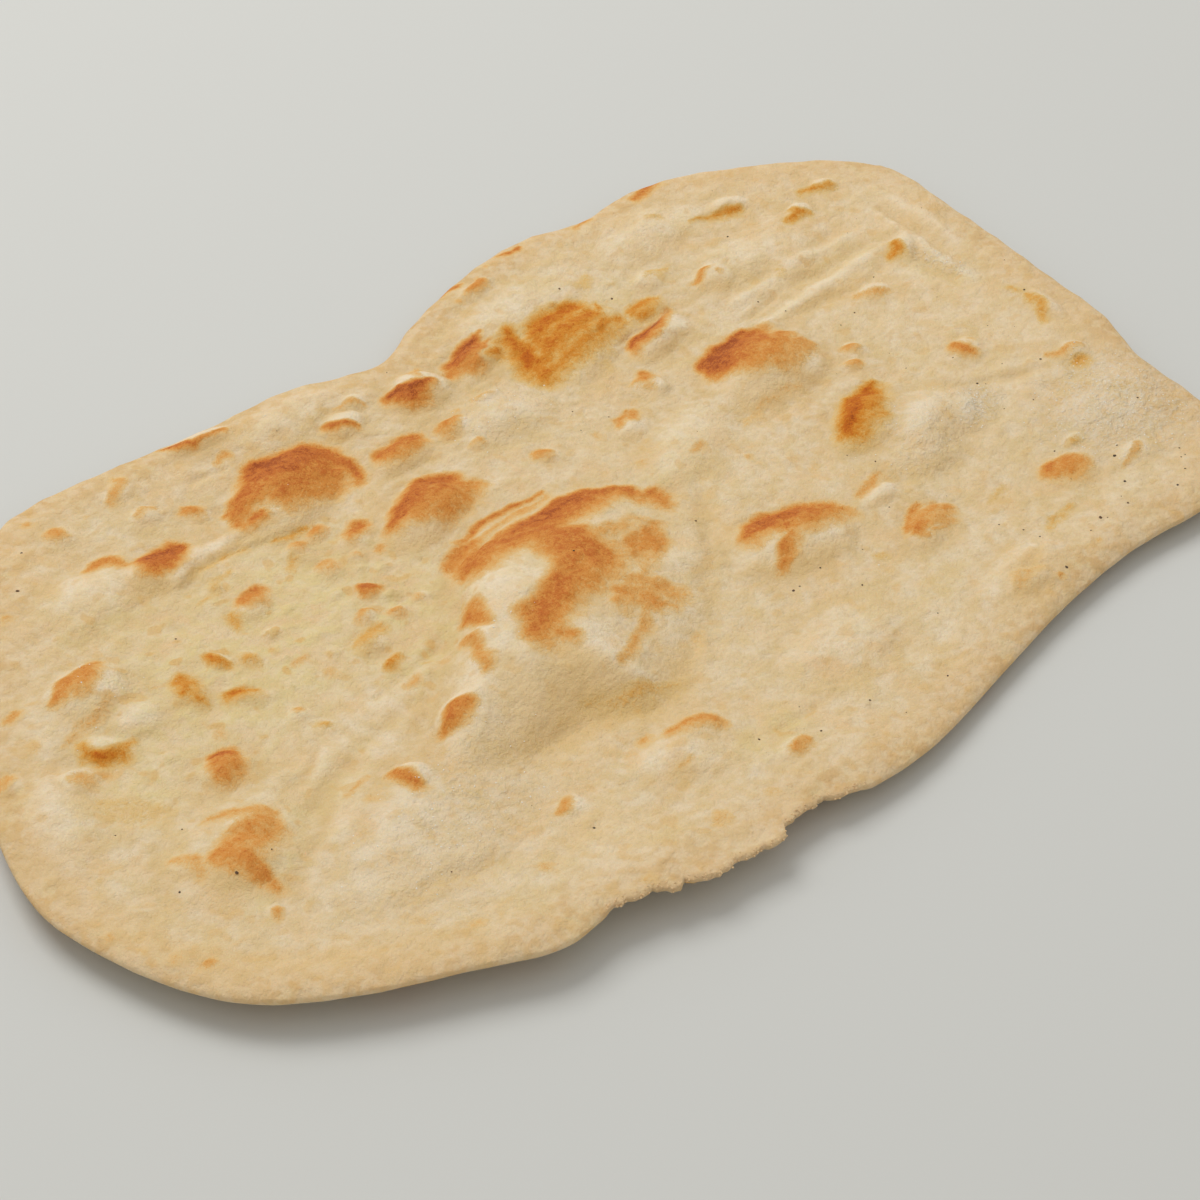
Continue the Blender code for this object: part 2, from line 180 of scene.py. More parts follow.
def torn_rim(rim):
    """The rim with its tears: points moved in towards the middle of the bread."""
    depth = np.zeros(len(rim))
    for start, deep, run in TEARS:
        past = rim[:, 0] - start
        broken = (rim[:, 1] < TORN_Y) & (past > 0)
        depth += np.where(broken, deep * np.exp(-np.clip(past, 0, None) / run), 0)
    crumble = sum(lumps(*rim.T, size, SEED + 11 + k) for k, size in enumerate(CRUMBLE_SIZES))
    depth += CRUMBLE * (CRUMBLE_IN + crumble) * torn(*rim.T)
    return moved_in(rim, depth)


torn_outline = torn_rim(outline)
print("deepest tear, mm:", round(float(np.hypot(*(torn_outline - outline).T).max()), 2))

# %% [markdown]
# ## The underside
# The middle of the underside lies flat on the table and the rim curls up a few millimetres, more
# on the near left. A Lattice could bend the sheet up, but a formula keeps its middle exactly flat.
# The lift is given every 30 degrees round and grows smoothly outwards.

# %% Underside
RIM_LIFT = [5.0, 5.0, 3.0, 3.0, 4.0, 5.0, 6.0, 8.0, 6.0, 3.0, 3.5, 5.0]
LIFT_STEP = 30  # degrees from one lift to the next
LIFT_POWER = 1.6  # over 1, so that the sheet leaves the table gently
RESTING = 0.5  # share of the way out to the rim that lies flat
lift_by_angle = closed_curve([(lift, 0) for lift in RIM_LIFT], LIFT_STEP)[:, 0]


def way_out(x, y):
    """0 at the middle of the bread and 1 at its rim."""
    edge = np.interp(np.arctan2(y, x), rim_angle, rim_radius, period=2 * math.pi)
    return np.hypot(x, y) / edge


def underside(x, y):
    """Height of the underside: flat in the middle, lifting towards the rim."""
    turn = np.degrees(np.arctan2(y, x)) % 360
    rim_lift = np.interp(turn, np.arange(360), lift_by_angle, period=360)
    share = np.clip((way_out(x, y) - RESTING) / (1 - RESTING), 0, 1)
    return rim_lift * share**LIFT_POWER


print("lift of the rim, mm:", min(RIM_LIFT), "to", max(RIM_LIFT))

# %% [markdown]
# ## Swellings and blisters
# Steam lifts the dough in two ways. Broad swellings have a soft foot. Blisters have a crisp foot
# and lean to the side that was lowest in the oven. Each is an oval: place, length, width, turn
# in degrees and height. They could be sculpted by hand, but ovals can be measured and repeated.

# %% Broad swellings
SWELLINGS = [
    (-110, -38, 84, 44, 16, 4.5), (84, -40, 48, 28, 12, 4.5), (-106, 78, 44, 28, 10, 2.8),
    (17, 52, 36, 24, 0, 2.8), (-148, -16, 46, 38, 20, 3.6), (-54, -70, 42, 24, -14, 2.2),
    (50, -94, 38, 20, 0, 2.0), (124, 46, 62, 26, -8, 2.2), (-168, 24, 26, 44, -30, 2.4),
    (126, -72, 40, 34, 0, 2.2), (0, -74, 44, 30, 10, 2.0), (108, 74, 44, 22, -16, 2.2),
    (40, 4, 46, 26, 10, 2.2), (-138, 48, 44, 32, 20, 2.0), (-20, 92, 50, 22, -12, 1.8),
    (58, 80, 60, 26, 0, 1.8),
]
print("swellings:", len(SWELLINGS))

# %% Blisters
BLISTERS = [
    (-45, 71, 44, 27, 12, 5.0), (77, 9, 43, 30, 4, 5.4), (54, 58, 42, 26, 14, 3.4),
    (-27, 38, 34, 20, 14, 4.2), (25, -41, 38, 25, -20, 3.8), (77, -26, 31, 16, 20, 3.8),
    (-88, 72, 21, 16, 0, 3.2), (30, 72, 25, 12, 12, 3.0), (9, 74, 22, 18, -8, 3.8),
    (72, 41, 26, 12, 12, 3.2), (-134, 51, 28, 19, 18, 3.0), (-132, 36, 18, 12, 10, 2.2),
    (-13, 59, 20, 11, -4, 2.6), (-14, 80, 14, 11, 0, 2.6), (-46, 104, 24, 10, -18, 2.2),
    (54, 29, 12, 11, 20, 1.9), (81, 52, 14, 9, 0, 1.9), (53, -65, 22, 13, 12, 2.2),
    (-144, 33, 16, 11, -40, 2.2), (-117, 33, 10, 15, -10, 2.2), (-130, 8, 15, 12, 20, 2.6),
    (-82, 46, 14, 10, 0, 2.2), (-83, -21, 16, 10, 15, 1.8), (-104, -28, 10, 12, 0, 2.0),
    (36, 21, 11, 10, 0, 1.9), (-46, 45, 10, 9, 0, 1.7), (-59, 28, 7, 8, 0, 1.6),
    (-73, 14, 11, 9, -10, 1.6), (148, 14, 14, 8, 28, 1.9), (121, -28, 11, 11, 0, 1.6),
    (127, 8, 12, 8, -10, 1.6), (145, 48, 10, 8, 0, 1.6), (134, 65, 16, 8, -24, 1.6),
    (95, -79, 18, 16, -10, 1.8), (104, 47, 14, 12, 0, 1.6),
]
print("blisters:", len(BLISTERS))

# %% The foot of the great middle puff: x, y and how steeply it rises there
PUFF_LEFT = [(-42, 16, 2.2), (-56, 5, 2.2), (-73, -7, 2.2), (-90, -20, 2.2), (-96, -31, 2.5)]
PUFF_NEAR = [(-93, -38, 2.3), (-80, -43.5, 2.6), (-65, -45, 2.5), (-58, -47, 2.4), (-47, -54.5, 2.3)]
PUFF_RIGHT = [
    (-37, -55, 2.0), (-22, -48, 1.6), (-4, -38, 1.5), (12, -25, 1.5), (20, -8, 1.5), (18, 8, 1.7),
]
PUFF_FAR = [(4, 18, 1.8), (-14, 23, 2.0), (-28, 22, 2.2)]
PUFF_FOOT = PUFF_LEFT + PUFF_NEAR + PUFF_RIGHT + PUFF_FAR
PUFF_MIDDLE = (-44, -14)
PUFF_HEIGHT = 11.5
print("stations of the puff:", len(PUFF_FOOT))

# %% Small blisters that the CAD leaves out
SMALL_BLISTERS = [
    (-97, 101, 10, 9, 0, 1.5), (-74, 103, 14, 8, 30, 1.2), (-66, 83, 8, 8, 0, 1.6),
    (-76, 91, 12, 8, 0, 1.6), (-58, 54, 8, 7, 0, 1.8), (-50, 54, 9, 7, 0, 1.8), (-59, 42, 9, 9, 0, 1.8),
    (-51, 40, 6, 6, 0, 1.3), (-66, 22, 7, 6, 0, 1.5), (-52, 17, 6, 5, 0, 1.3), (-60, 17, 7, 5, 0, 1.3),
    (-75, 5, 9, 5, 10, 1.5), (-87, 35, 6, 6, 0, 1.2), (-103, 37, 6, 8, 0, 1.8),
    (-107, 22, 10, 7, -45, 1.8), (-97, 32, 6, 9, 0, 1.4), (-104, 9, 6, 6, 0, 1.2),
    (-103, 1, 6, 6, 0, 1.2), (12, 30, 8, 8, 0, 1.5), (4, 57, 11, 9, 0, 2.0), (3, 47, 6, 6, 0, 1.2),
    (19, 58, 12, 6, 0, 1.5), (55, 94, 15, 8, 0, 2.0), (91, 60, 12, 9, 0, 1.5), (103, -3, 8, 8, 0, 1.6),
    (97, -7, 7, 6, 0, 1.6), (159, 50, 10, 7, -30, 1.5), (150, -34, 16, 8, 60, 1.8),
    (137, -52, 10, 9, 0, 1.5), (110, -89, 14, 9, 0, 1.5), (105, -73, 8, 6, 0, 1.2),
    (55, -47, 16, 8, 0, 1.8), (-46, -68, 14, 10, -30, 1.6), (-87, -62, 10, 8, 20, 1.2),
    (-60, -11, 8, 10, 0, 1.4), (-68, -17, 6, 8, 0, 1.0), (-157, -35, 6, 6, 0, 1.0),
    (-151, -19, 20, 17, 0, 2.2), (-160, -10, 8, 12, 0, 1.0), (-140, -10, 12, 14, 0, 1.5),
    (-155, 30, 12, 10, 0, 1.6), (-168, 40, 10, 8, 0, 1.3), (48, -98, 14, 8, 0, 1.6),
    (-38, -90, 12, 8, 0, 1.4), (-5, 84, 9, 7, -20, 1.4),
]
print("small blisters:", len(SMALL_BLISTERS))

# %% [markdown]
# ## Folds and creases
# Where the sheet slid on the oven wall it ran into low folds, and a thin crease marks where one
# blister pulled against the next. Both could be carved with a sculpting brush. Here each follows
# a few stations with their own widths, so it can be moved. A fold stands above the sheet and a
# crease lies below it.

# %% Folds: height above the sheet or below it, then stations of x, y and width
FOLDS = [
    (1.2, (98, 36, 6), (122, 34, 11), (150, 28, 6)), (1.2, (96, 23, 6), (122, 21, 9), (148, 18, 6)),
    (1.0, (157, 28, 5), (153.5, 14, 8), (151.5, 3, 7), (148, -11, 4)),
    (0.8, (168, 38, 5), (165, 20, 9), (160, 2, 5)), (0.9, (-96, 62, 5), (-76, 71, 9), (-54, 66, 6)),
    (0.5, (-60, -4, 6), (-78, -4, 14), (-102, -3, 18), (-116, -7, 18), (-128, -6, 14), (-144, 0, 6)),
    (0.8, (-72, -13, 6), (-88, -13, 10), (-104, -15, 14), (-116, -20, 14), (-130, -27, 12), (-146, -36, 6)),
    (-0.6, (-84, -9, 4), (-104, -10.5, 7), (-116, -13.5, 9), (-128, -17, 9), (-142, -24, 4)),
    (-1.1, (111, 30, 3), (120, 28, 6), (128, 25.5, 8), (137, 24, 7), (147, 23.5, 3)),
    (-0.9, (106, 19, 4), (114, 17.5, 6), (121, 16, 6), (129, 13.5, 4), (138, 13, 3)),
    (-1.0, (149, 10, 5), (146, 2, 8), (145, -5, 6), (144, -11, 3)),
    (-0.8, (161, 31, 4), (159, 22, 5), (156.5, 12, 4), (153.5, 2, 3)),
    (-1.0, (106, -34, 4), (117, -43, 8), (128, -50, 4)),
    (-1.0, (5, -31, 5), (16, -20, 10), (27, -9, 5)),
    (-0.5, (-138, -56, 4), (-124, -57, 8), (-114, -62, 8), (-102, -62, 4)),
]
print("folds:", len(FOLDS))

# %% Creases too fine for the CAD, in the same way
CREASES = [
    (-1.0, (-52, 5, 2), (-57, 3.2, 3.4), (-63, 1.2, 4.4), (-69, 0.3, 4.4), (-78, 0, 3), (-88, -1, 2)),
    (-0.8, (-85, 64.5, 2), (-79, 66, 3.4), (-73, 66, 4), (-66, 63.5, 3.6), (-60, 60.5, 3), (-54, 58.5, 3)),
    (-0.9, (92, 30, 2), (100, 29.5, 4), (109, 30, 3)),
    (-0.7, (-38, -82, 3), (-28, -84, 6), (-14, -84, 3)),
    (-0.7, (40, -99, 3), (51, -96, 8), (62, -92, 4)),
    (-0.9, (-60, -5, 1.5), (-52, 4, 2.6), (-42, 12, 3), (-31, 17.5, 2.6), (-18, 19, 1.5)),
    (-0.5, (-9, -3, 1.5), (-6, -14, 2.6), (-9, -26, 2.4), (-17, -38, 2)),
    (-0.4, (6, 2, 1.5), (4, -11, 2.2), (-3, -23, 2)),
    (-0.5, (-122, 66, 3), (-112, 67, 6), (-102, 67, 3)), (-0.5, (60, -4, 3), (72, -5, 4), (88, -4, 3)),
    (-0.6, (62, 48, 2), (70, 49, 3), (80, 45, 2)),
    (-0.6, (-128, -6, 3), (-120, -8, 5), (-113, -5, 4), (-106, 1, 3)),
    (-0.5, (-66, 88, 2), (-58, 92, 4), (-48, 90, 3)),
]
print("creases:", len(CREASES))

# %% The height of one oval
EDGE_WANDER = 0.06  # how far an oval's edge wanders, as a share of its length
WANDER_LENGTH = 40  # mm; a longer oval's edge wanders no more than this one's
WANDER_SIZE = 5  # mm from one turn of the edge to the next, and more on a wide oval
WANDER_WIDTH_SHARE = 0.35


def in_bump(x, y, bump):
    """How far out of a bump's middle a point is: 1 at its foot. Its edge wanders a little."""
    cx, cy, length, width, turn, _ = bump
    turn = math.radians(turn)
    wander = EDGE_WANDER * min(length, WANDER_LENGTH)
    px, py = drifted(x, y, wander, WANDER_WIDTH_SHARE * width + WANDER_SIZE, SEED + 1)
    along = (px - cx) * math.cos(turn) + (py - cy) * math.sin(turn)
    across = (py - cy) * math.cos(turn) - (px - cx) * math.sin(turn)
    return np.hypot(along / (length / 2), across / (width / 2))


SAG_TURN = math.radians(40)  # the way the blisters sagged while the sheet baked upright, from +X
SAG = 0.12  # how much higher a blister is on that side


def sagged(x, y, bump):
    """How much higher this side of a blister is."""
    cx, cy, length, width, _, _ = bump
    reach = (length + width) / 4
    side = ((x - cx) * math.cos(SAG_TURN) + (y - cy) * math.sin(SAG_TURN)) / reach
    return 1 + SAG * np.clip(side, -1, 1)


BUMP_MARGIN = 4  # mm round a bump that its wandering edge may need
SWELLING_FOOT = 1.7  # the higher, the softer the foot
BLISTER_FOOT = 1.2
SMALL_FOOT = 1.3


def domes(x, y, bumps, foot, leaning=False):
    """The heights of many ovals together."""
    height = np.zeros(np.shape(x))
    for bump in bumps:
        cx, cy, length, width, _, high = bump
        reach = 0.5 * max(length, width) + BUMP_MARGIN
        near = (np.abs(x - cx) < reach) & (np.abs(y - cy) < reach)
        px, py = x[near], y[near]
        inside = np.clip(1 - in_bump(px, py, bump) ** 2, 0, None) ** foot
        height[near] += high * inside * (sagged(px, py, bump) if leaning else 1)
    return height


first_place = np.array(BLISTERS[0][:2], float)[:, None]
first_height = domes(*first_place, BLISTERS[:1], BLISTER_FOOT, leaning=True)[0]
print("the first blister stands", round(float(first_height), 1), "mm")

# %% The height of the great puff
PUFF_WANDER = 1.5  # how far its foot wanders, and how long the turns are
PUFF_WANDER_SIZE = 12
PUFF_SHOULDER = 0.6  # rounds its shoulder where it rises gently
PUFF_UNEVEN = 0.1  # share of its height that swells and sinks, and the size of that
PUFF_UNEVEN_SIZE = 22
puff_curve = closed_curve(PUFF_FOOT, CURVE_STEPS)
puff_curve[:, :2] -= PUFF_MIDDLE
puff_angle, puff_reach, puff_points = round_middle(puff_curve)
puff_rise = puff_points[:, 2]


def puff(x, y):
    """Height of the great puff: a pillow, steep on its near side and gentle on its right."""
    px, py = drifted(x, y, PUFF_WANDER, PUFF_WANDER_SIZE, SEED + 1)
    px, py = px - PUFF_MIDDLE[0], py - PUFF_MIDDLE[1]
    turn = np.arctan2(py, px)
    foot = np.interp(turn, puff_angle, puff_reach, period=2 * math.pi)
    rise = np.interp(turn, puff_angle, puff_rise, period=2 * math.pi)
    inside = np.clip(1 - (np.hypot(px, py) / foot) ** rise, 0, None)
    uneven = 1 + PUFF_UNEVEN * lumps(x, y, PUFF_UNEVEN_SIZE, SEED + 3)
    return PUFF_HEIGHT * inside ** (1 + PUFF_SHOULDER / rise) * uneven


print("the puff's foot reaches, mm:", puff_reach.min().round(), "to", puff_reach.max().round())

# %% Strokes: bands through stations, used for folds, creases and browning
FOLD_DRIFT = 0.8  # how far folds and creases wander, and how long the turns are
FOLD_DRIFT_SIZE = 14


def into_stroke(x, y, stations):
    """How deep inside a stroke each point lies: 0 at its edge, less than 0 outside."""
    deepest = np.full(np.shape(x), -np.inf)
    ends = stations if len(stations) > 1 else stations * 2
    for (x0, y0, w0), (x1, y1, w1) in zip(ends[:-1], ends[1:]):
        run = max((x1 - x0) ** 2 + (y1 - y0) ** 2, 1e-6)
        t = np.clip(((x - x0) * (x1 - x0) + (y - y0) * (y1 - y0)) / run, 0, 1)
        gap = np.hypot(x - x0 - t * (x1 - x0), y - y0 - t * (y1 - y0))
        deepest = np.maximum(deepest, (w0 + t * (w1 - w0)) / 2 - gap)
    return deepest


def folded(x, y):
    """Height of the folds less the depth of the creases."""
    height = np.zeros(np.shape(x))
    px, py = drifted(x, y, FOLD_DRIFT, FOLD_DRIFT_SIZE, SEED + 4)
    for fold, *stations in FOLDS + CREASES:
        half = max(width for _, _, width in stations) / 2
        height += fold * smooth(into_stroke(px, py, stations) / half)
    return height


print("a fold's height, mm:", round(float(folded(np.array([122.0]), np.array([33.0]))[0]), 2))

# %% [markdown]
# ## Tiny blisters
# Between the named blisters the whole top is pebbled with tiny ones, 3 to 7 mm across. They stand
# highest in the oily patch on the left. Nobody would place them one by one, so their places come
# from a seeded random draw.

# %% Tiny blisters
TINY_COUNT = 900
TINY_ALONG = (-190, 180)  # the part of X, and of Y, where they are drawn
TINY_ACROSS = (-115, 115)
TINY_SIZE = (2.6, 6.5)
TINY_HEIGHT = (0.12, 0.5)
TINY_STRETCH = (0.7, 1.4)
OILY_PATCH = (-92, 30, 120, 62, 12, 0)  # an oval like the others; its height isn't used
OILY_SHARE = 1.9  # how much higher the tiny blisters stand there

draw = np.random.default_rng(SEED + 20)
tiny_x = draw.uniform(*TINY_ALONG, TINY_COUNT)
tiny_y = draw.uniform(*TINY_ACROSS, TINY_COUNT)
tiny_size = draw.uniform(*TINY_SIZE, TINY_COUNT)
tiny_height = draw.uniform(*TINY_HEIGHT, TINY_COUNT)
tiny_stretch = draw.uniform(*TINY_STRETCH, TINY_COUNT)
oily = in_bump(tiny_x, tiny_y, OILY_PATCH) < 1
tiny_height[oily] *= OILY_SHARE


def pebbles(x, y):
    """Height of the tiny blisters."""
    height = np.zeros(np.shape(x))
    order = np.argsort(x)
    sorted_x = x[order]
    for cx, cy, size, high, stretch in zip(tiny_x, tiny_y, tiny_size, tiny_height, tiny_stretch):
        first, last = np.searchsorted(sorted_x, [cx - size, cx + size])
        near = order[first:last]
        out = ((x[near] - cx) * stretch) ** 2 + ((y[near] - cy) / stretch) ** 2
        height[near] += high * np.clip(1 - out / (size / 2) ** 2, 0, None) ** SMALL_FOOT
    return height


print("tiny blisters in the oily patch:", int(oily.sum()))

# %% All the relief together
SHEET_WAVE = (34, 0.5)  # size and height of the slow changes of thickness
SMALL_SHARE = 0.95  # of their first height that the small blisters kept as they cooled
PUFF_DENTS = (8.5, 0.5)  # size and height of the dents in the puff's thin skin
RIPPLES = [(9.0, 0.4), (4.6, 0.19), (2.5, 0.07)]  # size and height of the finer unevenness


def broad_relief(x, y):
    """Height above the plain sheet, without the finest grain."""
    wave_size, wave_height = SHEET_WAVE
    height = wave_height * lumps(x, y, wave_size, SEED) + puff(x, y)
    height += domes(x, y, SWELLINGS, SWELLING_FOOT)
    height += domes(x, y, BLISTERS, BLISTER_FOOT, leaning=True)
    height += SMALL_SHARE * domes(x, y, SMALL_BLISTERS, SMALL_FOOT)
    return height + folded(x, y)


def fine_relief(x, y):
    """Height of the tiny blisters, the puff's dents and the ripples."""
    dent_size, dent_depth = PUFF_DENTS
    dents = dent_depth * lumps(x, y, dent_size, SEED + 29) * puff(x, y) / PUFF_HEIGHT
    height = pebbles(x, y) + dents
    for k, (size, high) in enumerate(RIPPLES):
        height += high * lumps(x, y, size, SEED + 30 + k)
    return height


print("ripples, mm:", RIPPLES)

# %% [markdown]
# ## The mesh of the sheet
# The sheet could be a flat grid cut to shape, but then the rim would be a staircase. Rings that
# shrink from the rim to the middle follow the rim exactly. Each ring inwards has six points
# fewer, so the triangles stay even, and a few close rings at the rim carry its rounded roll.

# %% Rings of points
SHEET = 4.0  # thickness of the baked sheet
RIM = 3.0  # thickness at the rim, before its edge is rounded
RIM_BAND = 9.0  # width over which the sheet thins to the rim
ROLL = 4.5  # how far in the top of the rim rolls over
TORN_ROLL = 2.4  # the same where it is torn
UNDER_ROLL = 1.5
TORN_UNDER = 5.0  # under the torn edge, which is left thin
EDGE_LEVEL = 0.32  # where the edge lies in the rim's thickness
TORN_LEVEL = 0.68
TOP_RINGS = 150
UNDER_RINGS = 44
TOP_EDGE = [0.25, 0.7, 1.3, 2.1, 3.1, 4.3]  # distances in from the rim, mm
EVEN_START = 5.3  # where the even rings of the top begin
UNDER_EDGE = [0.4, 1.0, 1.9, 3.4]

rim = torn_rim(evenly(rim_curve, 6 * TOP_RINGS))


def ring_points(edge, count):
    """A ring's points, taken evenly from the edge's points."""
    places = np.arange(count) * len(edge) / count
    low = np.floor(places).astype(int)
    part = (places - low)[:, None]
    return edge[low % len(edge)] * (1 - part) + edge[(low + 1) % len(edge)] * part


def shrinking_rings(edge, rings):
    """Rings from just inside an edge down to the middle point."""
    for k in range(rings - 1, 0, -1):
        yield ring_points(edge, 6 * k) * (k / rings)
    yield np.zeros((1, 2))


print("points on the rim:", len(rim), "spacing, mm:", round(float(rim_run / len(rim)), 2))


# %% Faces between two rings
def bridge(outer, outer_count, inner, inner_count):
    """Triangles between two closed rings that may have different numbers of points."""
    if inner_count == 1:
        return [(outer + i, outer + (i + 1) % outer_count, inner) for i in range(outer_count)]
    made = []
    i = j = 0
    while i < outer_count or j < inner_count:
        here = outer + i % outer_count
        across = inner + j % inner_count
        outer_is_behind = (i + 1) * inner_count <= (j + 1) * outer_count
        if j >= inner_count or (i < outer_count and outer_is_behind):
            i += 1
            made.append((here, outer + i % outer_count, across))
        else:
            j += 1
            made.append((here, inner + j % inner_count, across))
    return made


plan = [rim]  # every ring's points, top first
sides = [0]  # 0 for the edge, 1 for the top, -1 for the underside
faces = []


def stack(rings, side):
    """Adds rings from the edge inwards and the faces between them."""
    outer, outer_count = 0, len(rim)
    for ring in rings:
        inner = sum(len(points) for points in plan)
        plan.append(ring)
        sides.append(side)
        new = bridge(outer, outer_count, inner, len(ring))
        faces.extend(new if side > 0 else [face[::-1] for face in new])
        outer, outer_count = inner, len(ring)


top_rings = shrinking_rings(moved_in(rim, EVEN_START), TOP_RINGS)
under_rings = shrinking_rings(moved_in(rim, UNDER_EDGE[-1]), UNDER_RINGS)
stack([*(moved_in(rim, distance) for distance in TOP_EDGE), *top_rings], 1)
stack([*(moved_in(rim, distance) for distance in UNDER_EDGE), *under_rings], -1)
side = np.repeat(sides, [len(points) for points in plan])
top = side >= 0
x, y = np.vstack(plan).T
print("points:", len(x), "triangles:", len(faces))


# %% Distance in from the torn rim
def from_rim(x, y):
    """Distance in from the rim."""
    distance = np.full(len(x), np.inf)
    for cx, cy in torn_outline[::2]:
        distance = np.minimum(distance, (x - cx) ** 2 + (y - cy) ** 2)
    return np.sqrt(distance)


inward = from_rim(x, y)
inward[: len(rim)] = 0.0  # the rim's own points
print("furthest from the rim, mm:", round(float(inward.max()), 1))

# %% Heights of the top and the underside
RELIEF_FADE = 7  # mm in from the rim over which the relief grows
GRAIN_FADE = 3


def rolled(distance, roll):
    """0 at the edge, rising like a quarter circle to 1 at the roll's width."""
    share = np.clip(distance / roll, 0, 1)
    return np.sqrt(1 - (1 - share) ** 2)


base = underside(x, y)
broken = torn(x, y)
roll = ROLL + (TORN_ROLL - ROLL) * broken
under_roll = UNDER_ROLL + (TORN_UNDER - UNDER_ROLL) * broken
edge_level = EDGE_LEVEL + (TORN_LEVEL - EDGE_LEVEL) * broken
thickness = RIM + (SHEET - RIM) * smooth(inward / RIM_BAND)
upper = thickness * (edge_level + (1 - edge_level) * rolled(inward, roll))
relief = broad_relief(x, y)
grain_height = fine_relief(x, y)
top_z = base + upper + relief * smooth(inward / RELIEF_FADE) + grain_height * smooth(inward / GRAIN_FADE)
under_z = base + RIM * edge_level * (1 - rolled(inward, under_roll))
z = np.where(top, top_z, under_z)
print("heights, mm:", round(float(z.min()), 2), "to", round(float(z.max()), 2))


# %% The closed sheet
def put(name, data):
    """Puts an object with this data into the scene."""
    made = bpy.data.objects.new(name, data)
    bpy.context.scene.collection.objects.link(made)
    return made


def put_mesh(name, points, faces):
    """Puts a mesh with these points and faces into the scene."""
    mesh = bpy.data.meshes.new(name)
    mesh.from_pydata(points, [], faces)
    return put(name, mesh)


cad_middle = [(cad_low[k] + cad_high[k]) / 2 / MM for k in (0, 1)]
own_middle = [(torn_outline[:, k].max() + torn_outline[:, k].min()) / 2 for k in (0, 1)]
shift = [cad_middle[k] - own_middle[k] for k in (0, 1)]
points = np.stack([x + shift[0], y + shift[1], z], axis=1) * MM
bread = put_mesh("bread_sheet", points.tolist(), faces)
sheet_mesh = bread.data
sheet_mesh.validate()
sheet_mesh.shade_smooth()
print("moved by, mm:", [round(float(s), 2) for s in shift])

# %% [markdown]
# ## Browning
# A blister browns where it stood closest to the fire: over its top and down its far side. Each
# brown patch has its own drifting shape. It could be brushed on in Texture Paint, but a stroke that
# is written down can be moved and tried again. A stroke has a depth of colour and then stations
# of x, y and width. How brown it makes each point is stored on the mesh for the material to read.

# %% Brown of the great puff
PUFF_BROWN = [
    (0.62, (-37, 12, 13), (-31, 11, 15), (-24, 10, 13)),
    (0.54, (-38, 17, 8), (-33, 19, 8), (-28, 21, 5)),
    (0.74, (-25, 9, 12), (-14, 9.5, 13.5), (-4, 9, 13), (4, 8, 11.5), (9, 6.5, 8)),
    (0.64, (9, 6, 8), (13, 3.5, 7), (13, 1, 6)), (0.5, (12, -2, 4), (16, -4, 8.5), (15, -7, 6)),
    (0.66, (-19, 4, 15), (-18.5, -4, 18), (-20, -10, 19)),
    (0.62, (-21, -12, 18), (-30, -15, 13), (-40, -17, 11), (-48, -20, 13), (-51.5, -23, 10)),
    (0.45, (-49, -27, 5), (-46.5, -30, 3)),
    (0.66, (-30, 24, 1.6), (-20, 24.6, 2.1), (-10, 23.4, 2.1), (-2, 21.4, 1.4)),
    (0.28, (-27, 20, 3), (-12, 20, 4), (-2, 18.5, 3)), (0.3, (-13, -25, 3), (-10, -21, 4)),
    (0.42, (-24, -24, 6), (-21, -28, 9), (-19, -33, 7), (-16, -36, 3)),
    (0.3, (-27, -27, 8), (-18, -27, 12), (-13, -33, 8)),
    (0.14, (-24, -50.5, 1.5), (-21, -47.5, 3), (-18.5, -45, 2)),
    (0.16, (-10, -9, 8), (-3, -10, 8), (3, -8, 8)),
    (0.3, (-23, -33, 4), (-30, -36.5, 3.5), (-38, -41, 3), (-44, -43, 2)),
    (0.44, (-9, -18, 6), (-5, -17, 11), (0, -15, 10), (5, -12, 4)),
    (0.26, (-13, -8, 6), (-10, -13, 9), (-9, -20, 8)), (0.3, (-11, -4, 4), (-5, -6, 7), (0, -8, 3)),
    (0.5, (-51, 1, 3), (-54, -3, 6), (-56, -8, 4)),
    (0.38, (-62, -7, 3), (-65, -14, 4), (-66, -18, 3.5), (-70, -21, 2.5)),
    (0.62, (-87, -25, 6), (-82, -23.5, 7)), (0.2, (-80, -3, 3), (-76, -2.5, 3)),
]
print("strokes on the puff:", len(PUFF_BROWN))

